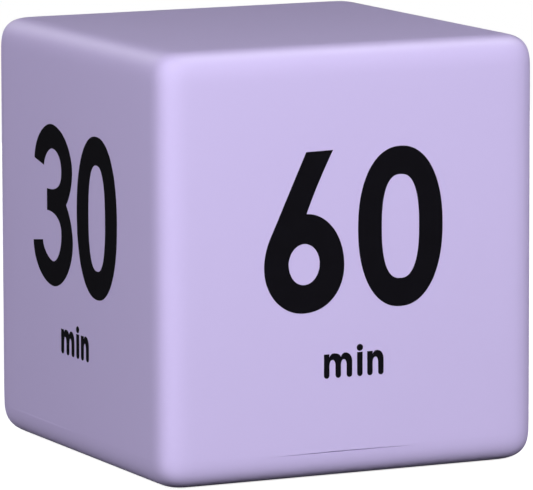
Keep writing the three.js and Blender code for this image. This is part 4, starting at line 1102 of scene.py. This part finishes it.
def screw_rule():
    """Cross-head screws on the corners of a rectangle, heads up, each turned as it happened to be driven
    home: a domed head with a tapered cross recess, and a pointed shank with its thread."""
    starts = {
        "Spacing X": 0.04, "Spacing Y": 0.04, "Head Radius": 0.0023, "Head Height": 0.0015,
        "Shank Radius": 0.0011, "Length": 0.014, "Pitch": 0.0009, "Seed": 3,
    }
    tree, given = new_rule("cross_head_screws", starts)
    known = {socket.name: socket for socket in given}
    place = add_node(tree, "GeometryNodeInputPosition")
    flat = add_node(tree, "ShaderNodeVectorMath", {0: place, 1: (1, 1, 0)}, operation="MULTIPLY")
    known["out"] = add_node(tree, "ShaderNodeVectorMath", {0: flat}, operation="LENGTH").outputs["Value"]
    known["level"] = add_node(tree, "ShaderNodeSeparateXYZ", {0: place}).outputs["Z"]
    # What follows from the sizes: the dome of the head, the shank, its point, its thread and the recess
    for name, operation, first, second in (
        ("share", "DIVIDE", "out", "Head Radius"),
        ("steep", "POWER", "share", DOME_POWER),
        ("top", "GREATER_THAN", "level", 0.0),
        ("upper", "MULTIPLY", "steep", "top"),
        ("dome", "MULTIPLY", "Head Height", -HEAD_DOME),
        ("fall", "MULTIPLY", "upper", "dome"),
        ("head lift", "MULTIPLY", "Head Height", 0.5),
        ("core", "MULTIPLY", "Shank Radius", THREAD_CORE),
        ("point", "MULTIPLY", "Shank Radius", POINT_LENGTH),
        ("point end", "MULTIPLY", "Shank Radius", POINT_END),
        ("root", "MULTIPLY", "Head Height", SHANK_ROOT),
        ("straight", "SUBTRACT", "Length", "point"),
        ("rod", "ADD", "straight", "root"),
        ("rod drop", "SUBTRACT", "root", "straight"),
        ("rod lift", "MULTIPLY", "rod drop", 0.5),
        ("tip lift", "MULTIPLY", "Length", -1.0),
        ("threaded", "MULTIPLY", "straight", THREAD_SHARE),
        ("turns", "DIVIDE", "threaded", "Pitch"),
        ("ridge", "MULTIPLY", "Shank Radius", 1 - THREAD_CORE),
        ("thread lift", "MULTIPLY", "straight", -1.0),
        ("arm", "MULTIPLY", "Head Radius", RECESS_WIDTH),
        ("arm end", "MULTIPLY", "arm", RECESS_TAPER),
        ("arm lift", "MULTIPLY", "Head Height", 1 - RECESS_DEPTH),
    ):
        taken = {0: known.get(first, first), 1: known.get(second, second)}
        known[name] = add_node(tree, "ShaderNodeMath", taken, operation=operation)
    height, core, point = known["Head Height"], known["core"], known["point"]
    sizes = {"Vertices": 32, "Fill Segments": 6, "Radius": known["Head Radius"], "Depth": height}
    disc = add_node(tree, "GeometryNodeMeshCylinder", sizes)
    fall = add_node(tree, "ShaderNodeCombineXYZ", {"Z": known["fall"]})
    head = add_node(tree, "GeometryNodeSetPosition", {"Geometry": disc, "Offset": fall})
    rod = add_node(tree, "GeometryNodeMeshCylinder", {"Vertices": 24, "Radius": core, "Depth": known["rod"]})
    sizes = {"Vertices": 24, "Radius Top": core, "Radius Bottom": known["point end"], "Depth": point}
    tip = add_node(tree, "GeometryNodeMeshCone", sizes)
    sizes = {"Resolution": 20, "Rotations": known["turns"], "Start Radius": core, "End Radius": core}
    path = add_node(tree, "GeometryNodeCurveSpiral", {**sizes, "Height": known["threaded"]})
    sizes = {"Resolution": 3, "Radius": known["ridge"]}
    ridge = add_node(tree, "GeometryNodeCurvePrimitiveCircle", sizes)
    lines = {"Curve": path, "Profile Curve": ridge, "Fill Caps": True}
    thread = add_node(tree, "GeometryNodeCurveToMesh", lines)
    sizes = {"Vertices": 4, "Radius Top": known["arm"], "Radius Bottom": known["arm end"], "Depth": height}
    arm = add_node(tree, "GeometryNodeMeshCone", sizes)
    bar = add_node(tree, "GeometryNodeTransform", {"Geometry": arm, "Rotation": (0, 0, math.pi / 4)})
    placed = []
    for shape, lift, scale in (
        (head, "head lift", (1, 1, 1)),
        (rod, "rod lift", (1, 1, 1)),
        (tip, "tip lift", (1, 1, 1)),
        (thread, "thread lift", (1, 1, 1)),
        (bar, "arm lift", (1, RECESS_ARM, 1)),
        (bar, "arm lift", (RECESS_ARM, 1, 1)),
    ):
        lift = add_node(tree, "ShaderNodeCombineXYZ", {"Z": known[lift]})
        moved = {"Geometry": shape, "Translation": lift, "Scale": scale}
        placed.append(add_node(tree, "GeometryNodeTransform", moved))
    solids, arms = {"Mesh 2": placed[:4]}, placed[4:]
    whole = add_node(tree, "GeometryNodeMeshBoolean", solids, operation="UNION", solver="MANIFOLD")
    solids = {"Mesh 1": whole, "Mesh 2": arms}
    screw = add_node(tree, "GeometryNodeMeshBoolean", solids, operation="DIFFERENCE", solver="MANIFOLD")
    sizes = {"Size X": known["Spacing X"], "Size Y": known["Spacing Y"], "Vertices X": 2, "Vertices Y": 2}
    spots = add_node(tree, "GeometryNodeMeshGrid", sizes)
    limits = {0: (0, 0, 0), 1: (0, 0, math.pi / 2), "Seed": known["Seed"]}
    driven = add_node(tree, "FunctionNodeRandomValue", limits, data_type="FLOAT_VECTOR")
    places = {"Points": spots, "Instance": screw, "Rotation": driven}
    screws = add_node(tree, "GeometryNodeInstanceOnPoints", places)
    close_rule(tree, screws, given["Material"])
    return tree


def add_screws():
    rule = screw_rule()
    for kind, seed, pitch in (("cover_screw", 3, 0.9), ("board_screw", 8, 0.7)):
        nodes = [f"{kind}_{number}" for number in (1, 2, 3, 4)]
        boxes = [span(node) for node in nodes]
        low, high = boxes[0]
        reach = [max(abs(low[axis] + high[axis]) / 2 for low, high in boxes) for axis in (0, 1)]
        upright = kind == "board_screw"
        seat = COUNTERBORE_DEPTH if kind == "cover_screw" else BOARD_HIGH.z
        sizes = {
            "Spacing X": 2 * reach[0], "Spacing Y": 2 * reach[1], "Head Radius": (high.x - low.x) / 2,
            "Head Height": high.z - seat if upright else seat - low.z, "Shank Radius": SHANK_RADIUS[kind],
            "Length": seat - low.z if upright else high.z - seat, "Pitch": pitch,
        }
        values = {label: size * MM for label, size in sizes.items()}
        values.update({"Seed": seed, "Material": ZINC})
        turn = Matrix.Identity(4) if upright else Matrix.Rotation(math.pi, 4, "X")
        screws = grow_from_rule(kind + "s", rule, values, (0, 0, seat), turn)
        finish_piece(screws, "housing", "zinc_steel", ZINC, *nodes)


# Battery springs, cells and contacts


def spring_rule():
    """A conical spring along Z: its turns draw in towards the tip, and its first and last lie flat."""
    starts = {"Turns": 3.0, "Base Radius": 0.0036, "Tip Radius": 0.0024, "Wire Radius": 0.0003}
    tree, given = new_rule("conical_spring", {**starts, "Length": 0.0044})
    path = add_node(
        tree,
        "GeometryNodeCurveSpiral",
        {
            "Resolution": 32,
            "Rotations": given["Turns"],
            "Start Radius": given["Base Radius"],
            "End Radius": given["Tip Radius"],
            "Height": given["Length"],
        },
    )
    place = add_node(tree, "GeometryNodeInputPosition")
    parts = add_node(tree, "ShaderNodeSeparateXYZ", {0: place}).outputs
    wire = given["Wire Radius"]
    last = add_node(tree, "ShaderNodeMath", {0: given["Length"], 1: wire}, operation="SUBTRACT")
    rise = add_node(
        tree,
        "ShaderNodeMapRange",
        {0: parts["Z"], 1: 0.0, 2: given["Length"], 3: wire, 4: last},
        interpolation_type="SMOOTHSTEP",
    )
    eased = add_node(tree, "ShaderNodeCombineXYZ", {"X": parts["X"], "Y": parts["Y"], "Z": rise})
    line = add_node(tree, "GeometryNodeSetPosition", {"Geometry": path, "Position": eased})
    section = add_node(tree, "GeometryNodeCurvePrimitiveCircle", {"Resolution": 12, "Radius": wire})
    tube = add_node(
        tree, "GeometryNodeCurveToMesh", {"Curve": line, "Profile Curve": section, "Fill Caps": True}
    )
    close_rule(tree, tube, given["Material"])
    return tree


def add_springs():
    rule = spring_rule()
    for node, end in (("spring_negative", -1), ("spring_bridge", 1)):
        low, high = span(node)
        start = low.y if end < 0 else high.y
        place = ((low.x + high.x) / 2, start, (low.z + high.z) / 2)
        values = {"Length": (high.y - low.y) * MM, "Material": NICKEL}
        turn = Matrix.Rotation(end * math.pi / 2, 4, "X")
        spring = grow_from_rule(node + "_coil", rule, values, place, turn)
        finish_piece(spring, "housing", "nickel_plate", NICKEL, node, sharp=60)


def add_cells():
    """Two cells, head to tail: a nickel-plated can with its nub, in a printed sleeve that folds over the
    can's shoulders."""
    for node, end in (("cell_left", 1), ("cell_right", -1)):
        low, high = span(node)
        length, radius = high.y - low.y, (high.x - low.x) / 2
        place = ((low.x + high.x) / 2, high.y if end > 0 else low.y, (low.z + high.z) / 2)
        turn = Matrix.Rotation(end * math.pi / 2, 3, "X")
        body = length - CELL_NUB_HEIGHT
        can_radius = radius - CELL_FILM
        can = [
            (0, CELL_PAD_RADIUS - 2 * CELL_FILM),
            (CELL_FILM, CELL_PAD_RADIUS),
            (2 * CELL_FILM, CELL_PAD_RADIUS),
            (2 * CELL_FILM, can_radius - CELL_FILM),
            (3 * CELL_FILM, can_radius),
            (body - 2 * CELL_FILM, can_radius),
            (body - CELL_FILM, can_radius - CELL_FILM),
            (body - CELL_FILM, CELL_NUB_RADIUS + CELL_FILM),
            (body, CELL_NUB_RADIUS),
            (length - CELL_FILM, CELL_NUB_RADIUS),
            (length, CELL_NUB_RADIUS - CELL_FILM),
        ]
        shell = loft(node + "_can", round_bar(0), can, place, turn)
        finish_piece(shell, "housing", "nickel_plate", NICKEL, node)
        opening = radius - CELL_FOLD
        sleeve = loft(node + "_sleeve", round_bar(radius), eased_levels(0, body, 2 * CELL_FILM), place, turn)
        bore = [
            (-OVERRUN, opening),
            (CELL_FILM, opening),
            (3 * CELL_FILM, can_radius),
            (body - 3 * CELL_FILM, can_radius),
            (body - CELL_FILM, opening),
            (body + OVERRUN, opening),
        ]
        combine(sleeve, [loft("bore", round_bar(0), bore, place, turn)], "DIFFERENCE")
        finish_piece(sleeve, "housing", "cell_sleeve", FILM, node)


# Small pieces inside, that keep the shape of their nodes

# Faces of a small piece that meet at more than this angle make an edge.
EASED_ANGLE = 40


def eased_copy(node, slot, material, edge=0.0, sharp=EASED_ANGLE, body="housing"):
    """A node's own shape with its sharp edges eased and its round sides shaded smooth."""
    piece = merged_copy(node + "_eased", node)
    if edge:
        flat = piece.modifiers.new("whole_faces", "DECIMATE")
        flat.decimate_type = "DISSOLVE"
        flat.angle_limit = math.radians(1)
        bevel = piece.modifiers.new("eased_edges", "BEVEL")
        bevel.width = edge * MM
        bevel.segments = 2
        bevel.limit_method = "ANGLE"
        bevel.angle_limit = math.radians(EASED_ANGLE)
        apply_modifiers(piece)
    finish_piece(piece, body, slot, material, node, sharp=sharp)


def add_small_pieces():
    for node in ("contact_positive", "contact_negative", "contact_bridge"):
        eased_copy(node, "nickel_plate", NICKEL, 0.1)
    eased_copy("main_board", "board_laminate", LAMINATE, 0.08)
    eased_copy("controller_blob", "sealing_resin", RESIN)
    eased_copy("clock_crystal", "nickel_plate", NICKEL, 0.15)
    eased_copy("filter_capacitor", "black_plastic", BLACK_PLASTIC, 0.1)
    eased_copy("boost_coil", "ferrite", FERRITE, 0.15)
    eased_copy("driver_transistor", "black_plastic", BLACK_PLASTIC, 0.12)
    for minutes in (60, 30, 15, 5):
        eased_copy(f"tilt_{minutes}_can", "nickel_plate", NICKEL, 0.12)
        eased_copy(f"tilt_{minutes}_header", "black_plastic", BLACK_PLASTIC, 0.08)
        eased_copy(f"tilt_{minutes}_ball", "ball_steel", BALL_STEEL, sharp=60, body=f"ball_{minutes}")
    eased_copy("switch_frame", "zinc_steel", ZINC, 0.12)
    eased_copy("switch_base", "ferrite", FERRITE, 0.1)
    eased_copy("switch_lever", "white_plastic", WHITE_PLASTIC, 0.15, body="switch_slider")
    eased_copy("sounder_case", "black_plastic", BLACK_PLASTIC, 0.15)
    eased_copy("sounder_diaphragm", "zinc_steel", ZINC, 0.05)
    eased_copy("sounder_coil", "copper_winding", COPPER, 0.1)
    eased_copy("sounder_plate", "board_laminate", LAMINATE, 0.08)
    for node in ("wire_battery_red", "wire_switch_red", "wire_sounder_red"):
        eased_copy(node, "red_pvc", RED_PVC, sharp=60)
    for node in ("wire_battery_black", "wire_sounder_black"):
        eased_copy(node, "black_pvc", BLACK_PVC, sharp=60)


# Light and background


# Lamps: the direction that each shines from, as azimuth and elevation seen from the object, half its
# width and height as angles, its radiance, and what it gives: light and its own reflection, light
# alone (fill), or its reflection alone (sheen). All stand at one distance.
LAMP_DISTANCE = 0.6
LAMPS = (
    ("front_softbox", 1, 25.7, 15, 15, 11.3, "both"),
    ("left_softbox", -55, 17, 15, 15, 6.3, "both"),
    ("side_softbox", -80, 25, 15, 15, 2.6, "both"),
    ("right_softbox", 105, 10, 15, 15, 2.2, "both"),
    ("back_strip", 168, 3.5, 45, 3, 10.0, "fill"),
    ("top_reflector", 90, 62, 18, 18, 85.0, "sheen"),
    ("edge_reflector", -171, 25, 15, 15, 30.0, "sheen"),
)
AMBIENT = 0.01
WHITE = (1, 1, 1, 1)


def add_softbox(name, azimuth, elevation, half_width, half_height, radiance, gives):
    light = bpy.data.lights.new(name, "AREA")
    light.shape = "ELLIPSE"
    light.size = 2 * LAMP_DISTANCE * math.tan(math.radians(half_width))
    light.size_y = 2 * LAMP_DISTANCE * math.tan(math.radians(half_height))
    light.energy = radiance * math.pi * (math.pi / 4 * light.size * light.size_y)
    lamp = add_object(name, light)
    towards = direction(math.radians(azimuth), math.radians(elevation))
    lamp.location = Vector((0, 0, HEIGHT / 2 * MM)) + LAMP_DISTANCE * towards
    lamp.rotation_euler = towards.to_track_quat("Z", "Y").to_euler()
    lamp.visible_glossy = gives != "fill"
    lamp.visible_diffuse = gives != "sheen"


def white_to_the_eye(tree, white, lit):
    """Shows one shader to the camera, in reflections and through glass, and lights objects by another."""
    path = add_node(tree, "ShaderNodeLightPath").outputs
    seen = path["Is Camera Ray"]
    for ray in ("Is Glossy Ray", "Is Transmission Ray"):
        seen = add_node(tree, "ShaderNodeMath", {0: seen, 1: path[ray]}, operation="MAXIMUM")
    mixed = add_node(tree, "ShaderNodeMixShader", {0: seen, 1: lit, 2: white})
    return mixed


def light_world():
    """A room that is white to the camera and in reflections, and lights the object at a plain level."""
    world = bpy.data.worlds.new("white_room")
    bpy.context.scene.world = world
    world.use_nodes = True
    tree = world.node_tree
    tree.nodes.clear()
    white = add_node(tree, "ShaderNodeBackground", {"Color": WHITE, "Strength": 1.0})
    soft = add_node(tree, "ShaderNodeBackground", {"Color": WHITE, "Strength": AMBIENT})
    add_node(tree, "ShaderNodeOutputWorld", {0: white_to_the_eye(tree, white, soft)})


# The table ends nearer than the lamps stand, so that all of it is lit. It is dark to the object.
FLOOR_REACH = 350
FLOOR_BOUNCE = "#303030"
FLOOR_PALE = "#E8E8E8"
FLOOR_LIFT = 0.85


def add_floor():
    """A matt white table: lit, it is white to the camera, and it keeps the soft shadow at the base."""
    corners = [(x * FLOOR_REACH, y * FLOOR_REACH, 0) for x, y in ((-1, -1), (1, -1), (1, 1), (-1, 1))]
    floor = make_piece("floor", corners, [(0, 1, 2, 3)])
    material = bpy.data.materials.new("matt_white_table")
    material.use_nodes = True
    tree = material.node_tree
    tree.nodes.clear()
    matt = add_node(tree, "ShaderNodeBsdfDiffuse", {"Color": linear(FLOOR_BOUNCE)})
    pale = add_node(tree, "ShaderNodeBsdfDiffuse", {"Color": linear(FLOOR_PALE)})
    lift = add_node(tree, "ShaderNodeEmission", {"Color": WHITE, "Strength": FLOOR_LIFT})
    both = add_node(tree, "ShaderNodeAddShader", {0: pale, 1: lift})
    add_node(tree, "ShaderNodeOutputMaterial", {0: white_to_the_eye(tree, both, matt)})
    floor.data.materials.append(material)


def light_scene():
    light_world()
    for lamp in LAMPS:
        add_softbox(*lamp)
    add_floor()
    bpy.context.scene.view_settings.view_transform = "Standard"


add_figures()
add_housing()
battery_door()
switch_knob()
add_screws()
add_springs()
add_cells()
add_small_pieces()
light_scene()
